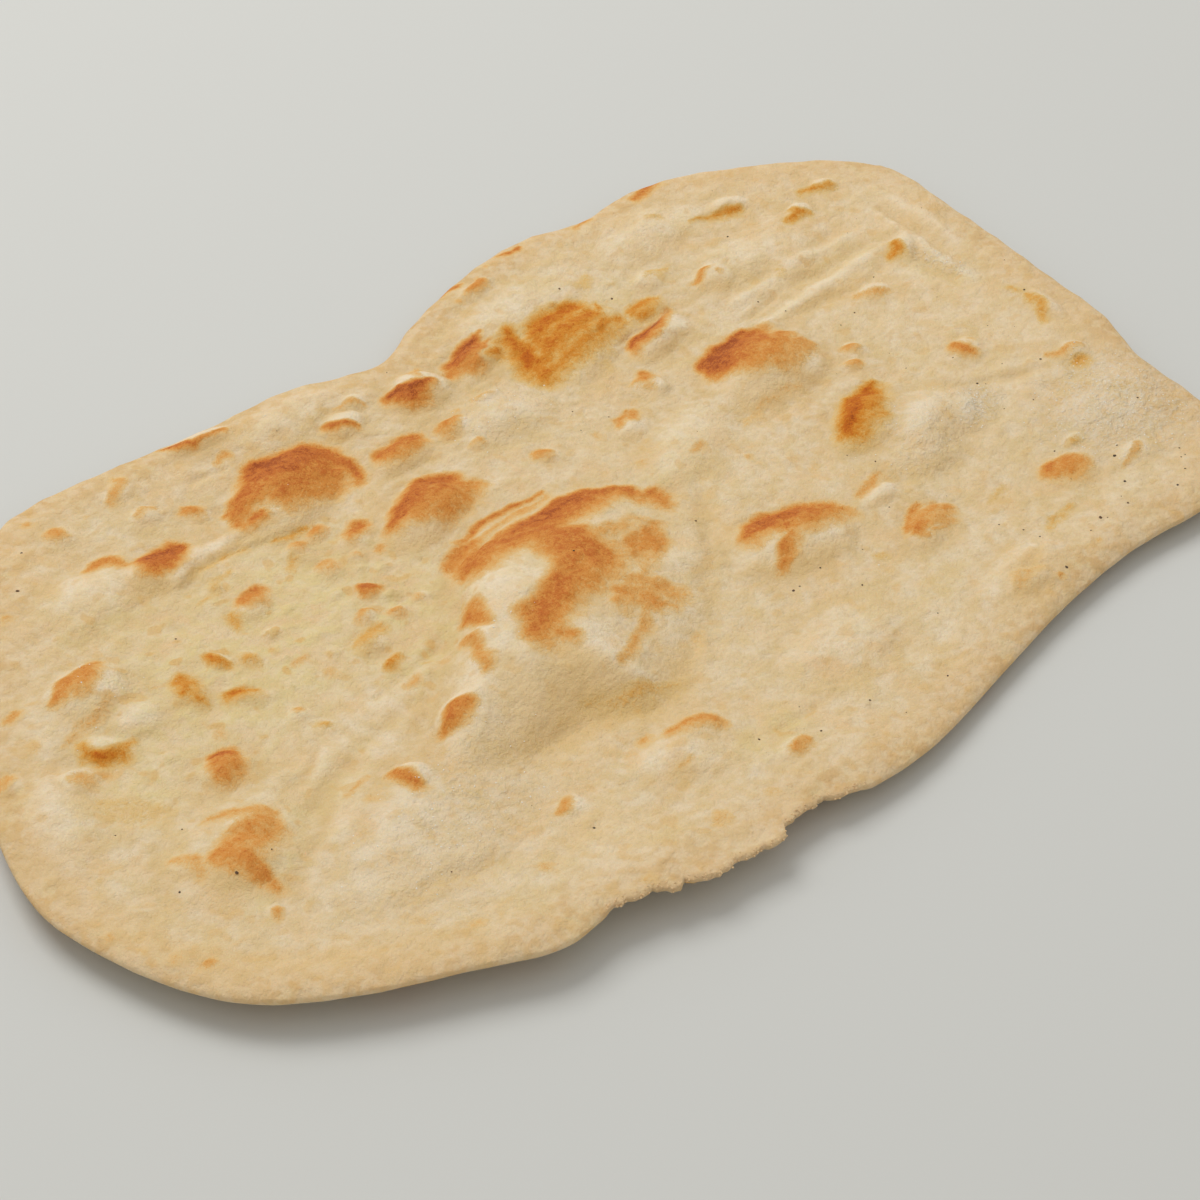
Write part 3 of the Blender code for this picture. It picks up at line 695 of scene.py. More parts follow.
# %% Brown of the far side
FAR_BROWN = [
    (0.86, (-46, 79, 13), (-42, 79, 16), (-36, 77, 15), (-30, 77, 13)),
    (0.8, (-55, 74.5, 8), (-48, 75, 13), (-40, 73, 14), (-31, 73, 13), (-27, 75, 10)),
    (0.8, (-26, 76, 7), (-25.5, 68, 6), (-26.5, 62.5, 3.5)),
    (0.62, (-48, 68, 9), (-38, 67, 11), (-30, 67, 8)), (0.62, (-62, 70, 4), (-59, 73, 7), (-54, 77, 5)),
    (0.66, (-60, 68.5, 3), (-57.5, 68.5, 4.5)), (0.95, (-60.5, 75.5, 1.6)), (0.9, (-58, 69, 2.4)),
    (0.85, (-89, 74.5, 9), (-84, 75.5, 10), (-79.5, 76.5, 7)), (0.55, (-86, 71, 5), (-81, 72, 3)),
    (0.5, (-101, 85.5, 3), (-97, 86, 5), (-93.5, 84, 5), (-93.8, 79, 2.5)),
    (0.28, (-78, 92.5, 2), (-74, 93.5, 2.5), (-71.5, 92, 1.5)), (0.5, (-66, 83.5, 5.5)),
    (0.35, (-97, 101.5, 6)), (0.28, (-98, 110, 3.5)), (0.28, (-77, 101, 4), (-71, 106, 4)),
    (0.15, (-87, 101.5, 2)), (0.28, (-48, 92.5, 2.5), (-44, 92.5, 3.5)), (0.2, (-128, 85, 4)),
    (0.72, (-54, 107, 2), (-52, 103.5, 3.5), (-48, 101, 2), (-42, 100, 1.5), (-38, 99.5, 2)),
    (0.75, (-2, 98, 1.6), (4, 97.5, 1.6)), (0.62, (-17.5, 82, 3), (-17, 79, 4), (-13, 77.3, 2.6)),
    (0.28, (-10, 86, 1.5), (-6, 84.5, 2), (-4, 81.5, 1.5)),
    (0.64, (-15.5, 61.5, 8), (-9.5, 62, 9), (-5, 62, 6.5)), (0.4, (4, 57.5, 6.5), (7, 58, 4)),
    (0.25, (10, 61.5, 2.5)), (0.25, (3.5, 48, 3.5)), (0.16, (15, 59, 3), (21, 58.5, 3)),
    (0.88, (3, 77, 5), (5, 74.5, 7), (8.5, 72.5, 5), (13, 72.3, 2.5)),
    (0.45, (4, 71, 4), (9, 69.5, 2.5)), (1.0, (5, 78.5, 1.6), (6.5, 75.5, 2), (9.5, 74, 1.4)),
    (0.22, (11, 77, 3), (13, 79.5, 4), (17, 80.5, 3)),
    (0.92, (25, 74.5, 5), (30, 76, 7.5), (35, 77.5, 6), (38, 79, 3)),
    (0.8, (38, 79.5, 1), (41, 80.6, 0.8)),
    (0.52, (24, 72.5, 6), (30, 73, 9), (36, 74, 10), (41, 73, 7)),
    (0.55, (21, 72, 4), (26, 71, 6), (32, 71, 5)), (0.25, (49, 94, 3)),
    (0.52, (54, 94.5, 3.5), (58, 94.5, 5)), (0.8, (48, 101.3, 1.6), (54, 101.3, 2.2)),
    (0.35, (66, 100, 2)), (0.75, (72, 100, 1.5), (78, 98.8, 3)), (0.45, (97, 92, 2), (103, 92.5, 2.5)),
    (0.66, (118, 89, 4), (124, 89, 5), (129, 89, 3.5), (131, 91, 2)),
]
AMBER_FAR = [
    (0.62, (38, 52, 6), (40, 58, 9), (42, 64, 10), (43, 71, 8), (46, 74.5, 5)),
    (0.92, (40, 60, 4), (42, 64.5, 5), (43, 57, 3)), (0.55, (37, 70, 5), (34, 71, 3)),
    (0.52, (40, 53, 9), (48, 53, 6), (57, 52.5, 8), (66, 54.5, 7), (71, 55.5, 5)),
    (0.68, (53, 68, 9), (60, 68, 12), (66, 66.5, 9)), (0.68, (66, 60, 8)),
    (0.66, (50, 66, 9), (48, 60, 8)), (0.6, (56, 59, 7), (60, 61, 6)),
    (0.64, (47, 58, 10), (55, 60, 13), (62, 60, 10)),
    (0.09, (-158, 20, 7), (-155, 13, 10), (-150, 9, 8)), (0.92, (53, 67.5, 3), (50, 69, 3)),
    (0.86, (58, 70.5, 4), (64, 69.5, 4)), (0.8, (70, 60.5, 0.8), (72.5, 64, 0.8)),
    (0.46, (77, 53, 5), (80, 53, 7), (83, 53.5, 6), (85.5, 54, 4)),
    (0.62, (76.5, 52.5, 2.5), (80, 50.8, 2)),
    (0.6, (120, 68, 1), (127, 66, 1.5), (131, 63.5, 3), (135, 61.5, 2)),
    (0.6, (139, 47, 3), (142, 46.5, 3.5), (146, 45, 1.5)), (0.7, (142, 50, 1.2), (142.5, 47.5, 2)),
    (0.5, (152, 53, 2), (156, 51, 3), (160, 49, 3.5)), (0.75, (157, 50.8, 1.4), (159, 50, 1.4)),
    (0.25, (90.5, 60.5, 1.5), (94, 63, 1.8), (98, 61, 1.5)), (0.12, (94, 60, 5)),
    (0.16, (76, 73, 4), (80, 74, 4)), (0.14, (52.5, 43.5, 4)), (0.16, (111, 79, 2), (115, 76, 3)),
]
print("strokes on the far side:", len(FAR_BROWN) + len(AMBER_FAR))

# %% Brown of the middle and the right
MIDDLE_BROWN = [
    (0.76, (-36, 40, 6), (-31, 41, 10), (-25, 42.5, 10), (-18, 44, 12.5), (-13.5, 43.5, 9)),
    (0.6, (-32, 36, 6), (-26, 37, 8), (-17, 39, 8), (-11.5, 39.5, 5)),
    (0.5, (-26, 33, 7), (-17, 34.5, 9), (-10, 37, 6)), (0.35, (-45, 37, 2.5), (-42.5, 37, 2)),
    (0.95, (-35, 39.5, 2.5), (-30.5, 40, 3)), (0.38, (11.5, 31.5, 5.5)), (0.25, (27, 26.5, 2.5)),
    (0.86, (64.5, 43, 5), (69, 44.5, 8), (73, 45.5, 6.5), (77, 47, 4), (84, 48.7, 1.6)),
    (0.5, (66, 41, 3), (72, 41, 3)), (0.5, (54, 32, 4), (57, 34, 5.5)), (0.22, (52.5, 28.5, 4)),
    (0.45, (34.5, 23.5, 2.5), (36, 26.5, 3), (41, 27, 2)), (0.4, (38, 23, 4), (41, 25, 4)),
    (0.52, (98, 50.5, 2), (103, 50.5, 2.5)), (0.25, (105, 46, 2.5)),
    (1.05, (71, 19, 10), (74, 21.5, 12), (79, 23, 11), (84, 24, 8)),
    (0.82, (68, 18, 5), (70, 23, 7), (76, 24.5, 6), (84, 26, 4), (90, 24.5, 4)),
    (0.74, (74, 15.5, 10), (82, 18, 11), (89, 20.5, 9), (93, 22, 6)),
    (0.5, (76, 10.5, 10), (83, 10.5, 12), (90, 13, 10), (94.5, 15, 7)),
    (0.38, (81, 5.5, 8), (88, 5.5, 8), (94, 7, 8)), (0.18, (58, -0.5, 2), (70, -1, 3), (79, -1.2, 2)),
    (0.32, (123, 10, 3), (126, 7.5, 4), (130, 5.5, 2)), (0.4, (103, -2.3, 5)), (0.38, (96.5, -7.5, 5)),
    (0.25, (36, -0.5, 2), (41, 0, 3)), (0.22, (25, 9, 4)), (0.22, (46, -10.5, 2)),
]
RIGHT_BROWN = [
    (0.74, (17, -33, 6), (23, -32.5, 9), (28, -35, 13), (33, -38, 13)),
    (0.9, (18, -33.5, 3), (25, -35, 4)), (0.52, (36, -39, 13), (41, -41, 9), (43, -44, 5)),
    (0.5, (25, -42, 5), (19, -44, 6), (14, -47, 3.5)),
    (0.36, (51, -42.5, 2), (56, -42.5, 3.5), (62, -42, 2)), (0.58, (47, -65.5, 5), (51, -64, 6)),
    (0.5, (47, -62, 3), (52, -58.5, 3), (58, -57.5, 2.5)), (0.4, (56, -66.5, 4), (62, -64, 5)),
    (0.32, (48, -68, 2), (58, -68, 2)), (0.42, (49, -63, 6), (55, -62.5, 8), (60, -61.5, 5)),
    (0.5, (92, -77, 9), (96, -79, 9), (94, -82, 5)),
    (0.28, (104, -90, 1.5), (110, -89.5, 3), (113, -88, 2)),
    (0.16, (44, -99, 4), (48, -97, 6), (52, -98, 3)), (0.5, (54, -103.5, 2)), (0.3, (73, -103, 2)),
    (0.35, (131, -48, 1.5), (135, -51, 2.5), (139, -52, 2)),
    (0.56, (119.5, -24.5, 4), (120, -28, 5), (121, -31, 3)), (0.2, (125, -26, 3)), (0.1, (54, -27, 5)),
]
AMBER_RIGHT = [
    (0.17, (-60, -42.5, 4), (-53, -48, 5), (-45, -51.5, 6), (-37, -53, 4)),
    (0.76, (70, -27, 8), (76, -24, 10), (84, -20, 10), (90, -18, 7), (94, -17.5, 2.5)),
    (0.96, (70.5, -25, 4), (77, -23.5, 3.5), (84, -19, 3)), (0.45, (70, -31, 3), (80, -29, 4)),
    (0.55, (143.5, 13, 3.5), (146, 14.5, 4), (147.5, 17, 2.5)), (0.3, (152, -22, 2), (151, -26, 1.5)),
    (0.4, (150, -28, 2), (147, -33, 4), (143.5, -38, 2.5)), (0.4, (134, -56, 4)), (0.28, (105, -73, 3)),
    (0.25, (70, -90.5, 2), (75, -89, 3), (80, -89.5, 2)), (0.2, (36, -62, 3)),
    (0.18, (70, -70, 1.5), (78, -70, 2)), (0.14, (118.5, 34, 3)),
]
print("strokes here:", len(MIDDLE_BROWN) + len(RIGHT_BROWN) + len(AMBER_RIGHT))

# %% Brown of the left
LEFT_BROWN = [
    (0.5, (-141, 52, 5), (-135, 53.5, 8), (-129, 56, 7), (-124, 58.5, 4)), (0.35, (-136, 49.5, 4)),
    (0.2, (-150, 40, 2), (-143, 41.5, 3), (-138, 42, 3), (-132, 44, 3)),
    (0.4, (-153, 58, 3), (-150, 57, 3)), (0.32, (-168, 41, 4.5)), (0.25, (-155, 29, 6)),
    (0.3, (-149, 27, 5)), (0.15, (-155, 46, 5)), (0.56, (-132, 6, 6), (-129, 8.5, 9.5), (-126, 10, 8)),
    (0.92, (-129, 13.5, 2.4), (-126.3, 12.8, 3.4), (-123.6, 10, 2.2)),
    (0.52, (-153, -15, 8), (-152.5, -20, 9), (-151.5, -26, 7), (-150.5, -30, 4)),
    (0.4, (-149, -16, 12), (-144, -16, 12), (-139, -15, 9)),
    (0.26, (-160, -7, 4), (-158.5, -10, 6), (-160, -16, 4)),
    (0.32, (-145, -2.5, 3), (-141, -5, 6), (-137, -9, 7), (-136, -13, 6)),
    (0.18, (-147, 41, 4), (-143, 42, 3)), (0.36, (-156.5, -36, 3)), (0.22, (-186, -15, 3)),
    (0.22, (-185, -23, 3.5)), (0.22, (-182, -30, 4)), (0.28, (-179, -36, 4)),
    (0.28, (-117, -20, 1.5), (-110, -19, 1.8)), (0.14, (-115, -25.5, 4)), (0.34, (-103, 10.5, 3)),
    (0.62, (-105.5, -24, 3), (-105.5, -28, 4.5), (-106, -33, 3)),
    (0.6, (-83, 47.5, 4), (-80, 48.5, 7), (-76.5, 50, 5)), (0.62, (-45, 47, 6.5), (-42.5, 48.5, 6)),
    (0.4, (-57.5, 54, 4.5)), (0.45, (-50.5, 55, 6.5)), (0.36, (-58, 43, 5.5)), (0.3, (-51, 41, 3)),
    (0.36, (-68, 22, 3), (-65.5, 23.5, 3.5), (-63, 21.5, 2)), (0.76, (-59.5, 31, 3), (-58.2, 28.5, 5)),
    (0.3, (-60, 18, 4.5)), (0.22, (-51.5, 18, 3)), (0.25, (-58, -61, 4)),
    (0.42, (-52, -64, 4), (-48, -65.5, 6), (-44, -68, 8), (-43, -71, 5)),
    (0.34, (-90, -62, 3), (-87, -60.5, 3.5), (-85, -59.5, 2)), (0.2, (-61, -74, 3), (-57, -74, 2)),
    (0.34, (-40, -91, 4), (-35, -91, 3.5)), (0.16, (-131, -74, 5)), (0.14, (-107, -72, 4)),
    (0.16, (-98, -94, 4)), (0.18, (-69, -92, 6)), (0.12, (-55, -96, 4)), (0.16, (-122, 17.5, 4)),
    (0.18, (-91, 23, 3), (-87, 22.5, 3)), (0.15, (-86.5, 14, 4)),
]
AMBER_LEFT = [
    (0.92, (-148, 32.5, 1.8), (-147, 29.6, 2.8), (-143.6, 28.4, 2)),
    (0.5, (-147, 38, 2), (-148.8, 33.5, 2.8), (-147.4, 29.8, 3.8), (-143, 28.4, 3.2), (-138, 30.2, 1.6)),
    (0.5, (-117, 32, 6), (-115, 36, 7), (-113.5, 38.5, 4)), (0.6, (-117, 29.5, 3)),
    (0.92, (-119, 33, 1.8), (-116, 33.5, 1.5), (-114, 37, 1)),
    (0.72, (-102.5, 39, 3.5), (-103, 35.5, 3)),
    (0.62, (-110.5, 25.5, 3), (-108, 24.5, 4), (-105.5, 21.5, 2.5)),
    (0.3, (-98, 33, 3.5), (-98, 30, 3)), (0.35, (-103, 1.8, 3)), (0.35, (-91, 43, 2), (-88, 47, 2.5)),
    (0.2, (-87.5, 34.5, 3.5)), (0.28, (-75.5, 16, 4), (-72, 16, 6.5), (-69, 16.5, 5)),
    (0.42, (-69, 17.5, 3)), (0.62, (-76.5, 5, 2), (-74, 6.3, 2.2), (-71.5, 6.2, 2)),
    (0.25, (-64, 51, 3), (-61, 52, 2)),
    (0.24, (-90, 55.5, 1.2), (-85, 57, 1.6), (-82, 60.5, 1.6), (-76, 61.5, 1.4)),
    (0.28, (-84, 65, 1), (-79, 66, 1.4), (-73, 66, 1.4), (-67, 63.8, 1.2)),
    (0.55, (-60, 60, 1.2), (-56, 58.6, 2.2), (-51, 58.5, 1.4)),
]
BROWN = PUFF_BROWN + FAR_BROWN + MIDDLE_BROWN + RIGHT_BROWN + LEFT_BROWN
AMBER = AMBER_FAR + AMBER_RIGHT + AMBER_LEFT
print("strokes of brown:", len(BROWN), "and of amber:", len(AMBER))

# %% [markdown]
# Each stroke is darkest inside and fades over its edge. On the side of the fire it is a little
# darker and fades sooner, and on the side away from it the fade is slow. Where strokes overlap
# the darker one wins, with a soft seam. The result is one number for how brown the crust is, and
# the material turns it into colour, from pale gold to red brown.

# %% How brown the crust is
DRIFTS = [(5.5, 1.3), (2.4, 0.325)]  # size of the turns in a brown edge, and how far it drifts
STROKE_MARGIN = 8  # mm round a stroke that its fade and its drift may need
FADE_LEAST = 1.9  # mm, over which the narrowest stroke fades
FADE_SHARE = 0.40  # of a stroke's width
FADE_LEAN = 0.40  # how much slower it fades on the side away from the fire
FIRE_SIDE = 0.08  # how much darker it is on the side of the fire
SEAM = 3  # how sharply the darker of two strokes wins
EDGE_SHARE = 0.52  # how brown it still is at a stroke's edge
DEPTH_POWER = 0.7  # under 1, so that the palest strokes still show
AMBER_SOFTNESS = 1.5
BROWNED = 0.3  # from here on a point counts as browned
FIRE = (math.cos(math.radians(67)), math.sin(math.radians(67)))  # where the fire was


def browned(x, y, strokes, softness=1.0):
    """How brown the strokes make each point, 0 to 1."""
    px, py = x, y
    for k, (size, distance) in enumerate(DRIFTS):
        px = px + distance * lumps(x, y, size, SEED + 40 + k)
        py = py + distance * lumps(x, y, size, SEED + 42 + k)
    total = np.full(len(x), 1e-9)  # just over 0, so that an unbrowned point can be divided too
    weight = np.full(len(x), 1e-6)
    for tone, *stations in strokes:
        cx, cy = np.mean([station[:2] for station in stations], axis=0)
        widest = max(width for _, _, width in stations)
        reach = STROKE_MARGIN + max(math.hypot(sx - cx, sy - cy) + w / 2 for sx, sy, w in stations)
        near = (np.abs(x - cx) < reach) & (np.abs(y - cy) < reach)
        nx, ny = px[near], py[near]
        inside = into_stroke(nx, ny, stations)
        nearer = into_stroke(nx + FIRE[0], ny + FIRE[1], stations)
        further = into_stroke(nx - FIRE[0], ny - FIRE[1], stations)
        lean = np.clip((nearer - further) / 2, -1, 1)
        fade = softness * (FADE_LEAST + FADE_SHARE * widest) * (1 + FADE_LEAN * lean)
        depth = tone**DEPTH_POWER * (1 - FIRE_SIDE * lean) * smooth(inside / fade + EDGE_SHARE)
        total[near] += depth ** (SEAM + 1)
        weight[near] += depth**SEAM
    return total / weight


brown = np.zeros(len(x))
amber = np.zeros(len(x))
brown[top] = browned(x[top], y[top], BROWN)
amber[top] = browned(x[top], y[top], AMBER, AMBER_SOFTNESS)
browned_share = (np.maximum(brown, amber)[top] > BROWNED).mean()
print("share of the top that is browned:", round(float(browned_share), 3))

# %% [markdown]
# ## Tints of the dough, with painted light and shade
# Dough isn't one colour. It is tan along the rolled rim and oily yellow on the left. Raised skin
# is painted paler as painted light, hollows duller as painted shade, and slopes that face away
# from the lamp, towards the camera, more yellow and darker as painted shade. Each tint is a number
# from 0 to 1 that is stored on the mesh, and the material mixes its colour in by that number. The
# lie of the sheet gives most of them without any brushwork.

# %% Tan bands, partly painted shade at the near feet of blisters, and yellow and floury patches
# Partly painted shade along the near feet of blisters and in a valley, partly the dough's own tan.
TAN_AND_FOOT_SHADE_BANDS = [
    (0.7, (-93, -37, 6), (-78, -43, 9), (-66, -46, 9), (-56, -50, 11), (-46, -54, 12), (-36, -54, 9),
     (-24, -50, 6)),
    (0.4, (12, -12, 5), (20, -20, 8), (16, -28, 6)), (0.45, (-134, -58, 8), (-120, -58, 10)),
    (0.9, (44, -99, 5), (50, -95.5, 9), (56, -95, 6)),
    (0.6, (66, -42, 5), (75, -44, 9), (85, -46, 8), (93, -42, 5)),
    (0.55, (-185, -10, 5), (-181, -26, 8), (-176, -38, 9), (-167, -51, 8), (-153, -62, 6), (-138, -72, 5)),
    (0.4, (-100, -70, 8), (-86, -72, 9)), (0.4, (-42, -82, 7), (-30, -82, 8)),
    (0.35, (-88, -81, 8), (-78, -79, 6)),
]
YELLOW_PATCHES = [
    (-95, 34, 124, 62, 10, 1.0), (-60, 8, 60, 30, 30, 0.8), (-152, 14, 26, 22, 0, 0.7),
    (-118, -13, 44, 14, 10, 0.6), (-150, -28, 30, 14, 10, 0.6), (-112, 68, 40, 14, 0, 0.6),
    (145, 0, 12, 30, 0, 0.5), (132, 26, 50, 12, -10, 0.4), (20, 0, 60, 20, 0, 0.3),
    (-36, -84, 26, 18, 0, 0.7), (105, -71, 14, 10, 0, 0.6), (80, 62, 26, 20, 0, 0.4),
]
FLOURY_PATCHES = [
    (124, -72, 56, 52, 0, 0.9), (104, -44, 26, 12, 30, 0.9), (84, -40, 50, 24, 10, 0.5),
    (-130, 45, 50, 40, 0, 0.2), (-110, -45, 90, 50, 14, 0.4), (150, 2, 8, 30, 0, 0.8),
    (-52, -14, 26, 16, 30, 0.4), (17, 52, 40, 26, 0, 0.3),
]
TAN_SOFTNESS = 1.8
YELLOW_FOOT = 0.8
FLOUR_FOOT = 0.9
tan_and_foot_shade = np.zeros(len(x))
tan_and_foot_shade[top] = browned(x[top], y[top], TAN_AND_FOOT_SHADE_BANDS, TAN_SOFTNESS)
yellow = np.clip(domes(x, y, YELLOW_PATCHES, YELLOW_FOOT), 0, 1) * top
flour = np.clip(domes(x, y, FLOURY_PATCHES, FLOUR_FOOT), 0, 1) * top
print("tan bands:", len(TAN_AND_FOOT_SHADE_BANDS), "patches:", len(YELLOW_PATCHES) + len(FLOURY_PATCHES))

# %% Painted shade in hollows and on slopes, painted light on raised skin, and the rim
HOLLOW_REACH = 6.0  # mm to the places round a point that its height is compared with
HOLLOW_DEPTH = 1.6  # mm below them that takes a hollow's painted shade from none to full
LIFTED_HEIGHT = 1.2  # mm above them that gives raised skin its full painted light
SLOPE_TURN = math.radians(40)  # slopes that rise this way, from +X, face away from the lamp and get painted shade
SLOPE_STEP = 2  # mm each way over which a slope is measured
SLOPE_START = 0.08  # the slope at which the painted shade begins, and how much more makes it full
SLOPE_SPAN = 0.4
RIM_START = 1  # mm in from the rim where its tan begins to fade, and how far it fades
RIM_SPAN = 18
RIGHT_START = 60  # the same along X for the warmer right end
RIGHT_SPAN = 100


def relief_at(turn, distance):
    """The height of the relief this far off from each point, this way."""
    return broad_relief(x + distance * math.cos(turn), y + distance * math.sin(turn))


slope = (relief_at(SLOPE_TURN, SLOPE_STEP) - relief_at(SLOPE_TURN, -SLOPE_STEP)) / (2 * SLOPE_STEP)
# Painted shade: slopes turned away from the lamp, and the tan bands at the feet of blisters, get a darker
# yellow.
slope_shade = np.maximum(smooth((slope - SLOPE_START) / SLOPE_SPAN) * top, tan_and_foot_shade)
around = np.mean([relief_at(turn, HOLLOW_REACH) for turn in np.arange(6) * math.pi / 3], axis=0)
# Painted shade: hollows get a duller, darker dough colour.
hollow_shade = smooth(0.5 + (around - relief) / HOLLOW_DEPTH) * top
# Painted light: skin that stands above its surroundings is painted paler.
raised_skin_light = smooth((relief - around) / LIFTED_HEIGHT) * top
rim_tint = (1 - smooth((inward - RIM_START) / RIM_SPAN)) * top
right_tint = smooth((x - RIGHT_START) / RIGHT_SPAN) * top
print("mean of the hollows:", round(float(hollow_shade.mean()), 3))

# %% Store the numbers on the mesh
CRUMB_START = 0.4  # mm in from the torn rim where its open crumb begins to fade, and how far
CRUMB_SPAN = 1.6
GIVE_SPAN = 2.5  # mm in from the rim over which the skin starts to give


def store(mesh, name, values):
    """Keeps one number for each point of the mesh, for the trees of nodes to read."""
    attribute = mesh.attributes.new(name, "FLOAT", "POINT")
    attribute.data.foreach_set("value", np.asarray(values, np.float32))


TINTS = {
    "brown": brown, "amber": amber, "hollow_shade": hollow_shade, "raised_skin_light": raised_skin_light, "slope_shade": slope_shade,
    "yellow": yellow, "flour": flour, "rim_tint": rim_tint, "right_tint": right_tint,
    "under": ~top, "torn_edge": broken * (1 - smooth((inward - CRUMB_START) / CRUMB_SPAN)),
}
for name, values in TINTS.items():
    store(sheet_mesh, name, values)
store(sheet_mesh, "give", np.where(top, smooth(inward / GIVE_SPAN), 0.0))
print("numbers stored:", ", ".join(TINTS), "and give")

# %% [markdown]
# ## A map for the finished picture of the crust
# A game engine needs the crust's colours in one flat picture. Blender can unwrap a mesh by itself,
# but this sheet is nearly flat already. The top is laid out as seen from above over the lower part
# of the map, and the underside, which matters less, above it at about half the size.

# %% Flat map
TOP_SHARE = 0.985
UNDER_SHARE = 0.52
UV_MARGIN = 0.006
uv = sheet_mesh.uv_layers.new(name="OFBake")
corner_point = np.empty(len(sheet_mesh.loops), np.int32)
sheet_mesh.loops.foreach_get("vertex_index", corner_point)
face_under = np.array([min(side[list(face)]) < 0 for face in faces])
corner_under = np.repeat(face_under, 3)
length = points[:, 0].max() - points[:, 0].min()
flat = (points[:, :2] - points[:, :2].min(axis=0)) / length
corner_uv = flat[corner_point] * np.where(corner_under, UNDER_SHARE, TOP_SHARE)[:, None] + UV_MARGIN
corner_uv[corner_under, 1] += TOP_SHARE * flat[:, 1].max() + 2 * UV_MARGIN
uv.data.foreach_set("uv", corner_uv.astype(np.float32).ravel())
print("the map reaches", np.round(corner_uv.max(axis=0), 3))

# %% [markdown]
# ## A way to write trees of nodes
# Materials and Geometry Nodes are trees of nodes, which are often laid out by hand in an editor.
# Written as sums, a tree reads like the recipe it is. So one small class holds what comes out of
# a node and lets Python's + and * add the Math nodes, and one function makes every other node.

# %% What comes out of a node
class Output:
    """What comes out of a node. Between numbers, + - * and / add Math nodes."""

    def __init__(self, tree, socket):
        self.tree = tree
        self.socket = socket

    def math(self, operation, first, second):
        """A Math node on two numbers."""
        return node(self.tree, "ShaderNodeMath", {"operation": operation}, {0: first, 1: second})

    def __add__(self, other):
        return self.math("ADD", self, other)

    def __sub__(self, other):
        return self.math("SUBTRACT", self, other)

    def __rsub__(self, other):
        return self.math("SUBTRACT", other, self)

    def __mul__(self, other):
        return self.math("MULTIPLY", self, other)

    def __truediv__(self, other):
        return self.math("DIVIDE", self, other)

    def __rtruediv__(self, other):
        return self.math("DIVIDE", other, self)

    __radd__ = __add__
    __rmul__ = __mul__

    def between(self, low, high):
        """0 at low, 1 at high and smooth between."""
        values = {"Value": self, "From Min": low, "From Max": high}
        return node(self.tree, "ShaderNodeMapRange", {"interpolation_type": "SMOOTHSTEP"}, values)


def node(tree, kind, settings, inputs, output=0):
    """Makes a node: its settings first, then its inputs, which are values or links."""
    made = tree.nodes.new(kind)
    for name, value in settings.items():
        setattr(made, name, value)
    for name, value in inputs.items():
        if isinstance(value, Output):
            tree.links.new(value.socket, made.inputs[name])
        else:
            made.inputs[name].default_value = value
    return Output(tree, made.outputs[output]) if len(made.outputs) else made


print("signs that now add a Math node: + - * /")


# %% Grain, tints and colours
def grain(place, size_mm, detail, roughness=0.5):
    """Noise from 0 to 1 whose lumps are about this many millimetres across."""
    inputs = {"Vector": place, "Scale": 1 / (size_mm * MM), "Detail": detail, "Roughness": roughness}
    return node(place.tree, "ShaderNodeTexNoise", {"noise_dimensions": "3D"}, inputs, "Fac")


def stored(tree, name):
    """A number stored on the mesh."""
    return node(tree, "ShaderNodeAttribute", {"attribute_name": name}, {}, "Fac")


def tinted(share, first, second):
    """First colour, turning into the second as share goes from 0 to 1."""
    inputs = {0: share, 6: first, 7: second}  # a Mix node numbers its colour inputs 6 and 7
    return node(share.tree, "ShaderNodeMix", {"data_type": "RGBA", "clamp_factor": True}, inputs, 2)


def bump(height, strength, depth):
    """A fine relief that only bends the light."""
    inputs = {"Strength": strength, "Distance": depth, "Height": height}
    return node(height.tree, "ShaderNodeBump", {}, inputs, "Normal")


def colour(red, green, blue):
    """A screen colour, 0 to 255, as the linear one that a shader takes."""
    shares = [value / 255 for value in (red, green, blue)]
    linear = [((v + 0.055) / 1.055) ** 2.4 if v > 0.04 else v / 12.92 for v in shares]
    return (*linear, 1.0)


def empty_material(name):
    """A new material and the object's own space, for its patterns to lie in."""
    material = bpy.data.materials.new(name)
    material.use_nodes = True
    material.node_tree.nodes.clear()
    return material, node(material.node_tree, "ShaderNodeTexCoord", {}, {}, "Object")


def surface(tree, inputs):
    """Ends a material with a Principled BSDF that has these inputs."""
    shader = node(tree, "ShaderNodeBsdfPrincipled", {}, inputs, "BSDF")
    node(tree, "ShaderNodeOutputMaterial", {}, {"Surface": shader})


print("middle grey is", [round(v, 3) for v in colour(128, 128, 128)[:3]])

# %% [markdown]
# ## The crust
# One painted picture could hold all of the crust's colour, but it would blur close up. Layers of
# noise stay sharp at any distance. Pale dough is mottled at six sizes, from 24 mm to under half a
# millimetre, and the tints lie over that, with painted light on raised skin and painted shade in
# hollows and on slopes. The browning comes on top as a ladder of colours: each one takes over as
# the crust gets browner. Fine grain is added to the number first, so that every edge breaks up
# into specks like real toasting.

# %% Colours of the crust
DOUGH = colour(241, 217, 176)
DOUGH_PALE = colour(245, 229, 200)
DOUGH_WARM = colour(238, 204, 154)
DOUGH_OLIVE = colour(231, 206, 150)
# Painted shade for the hollows.
HOLLOW_SHADE_COLOUR = colour(215, 182, 124)
DRY_SHADE = colour(216, 191, 150)
GOLDEN = colour(225, 182, 112)
RIM_BROWN = colour(214, 170, 114)
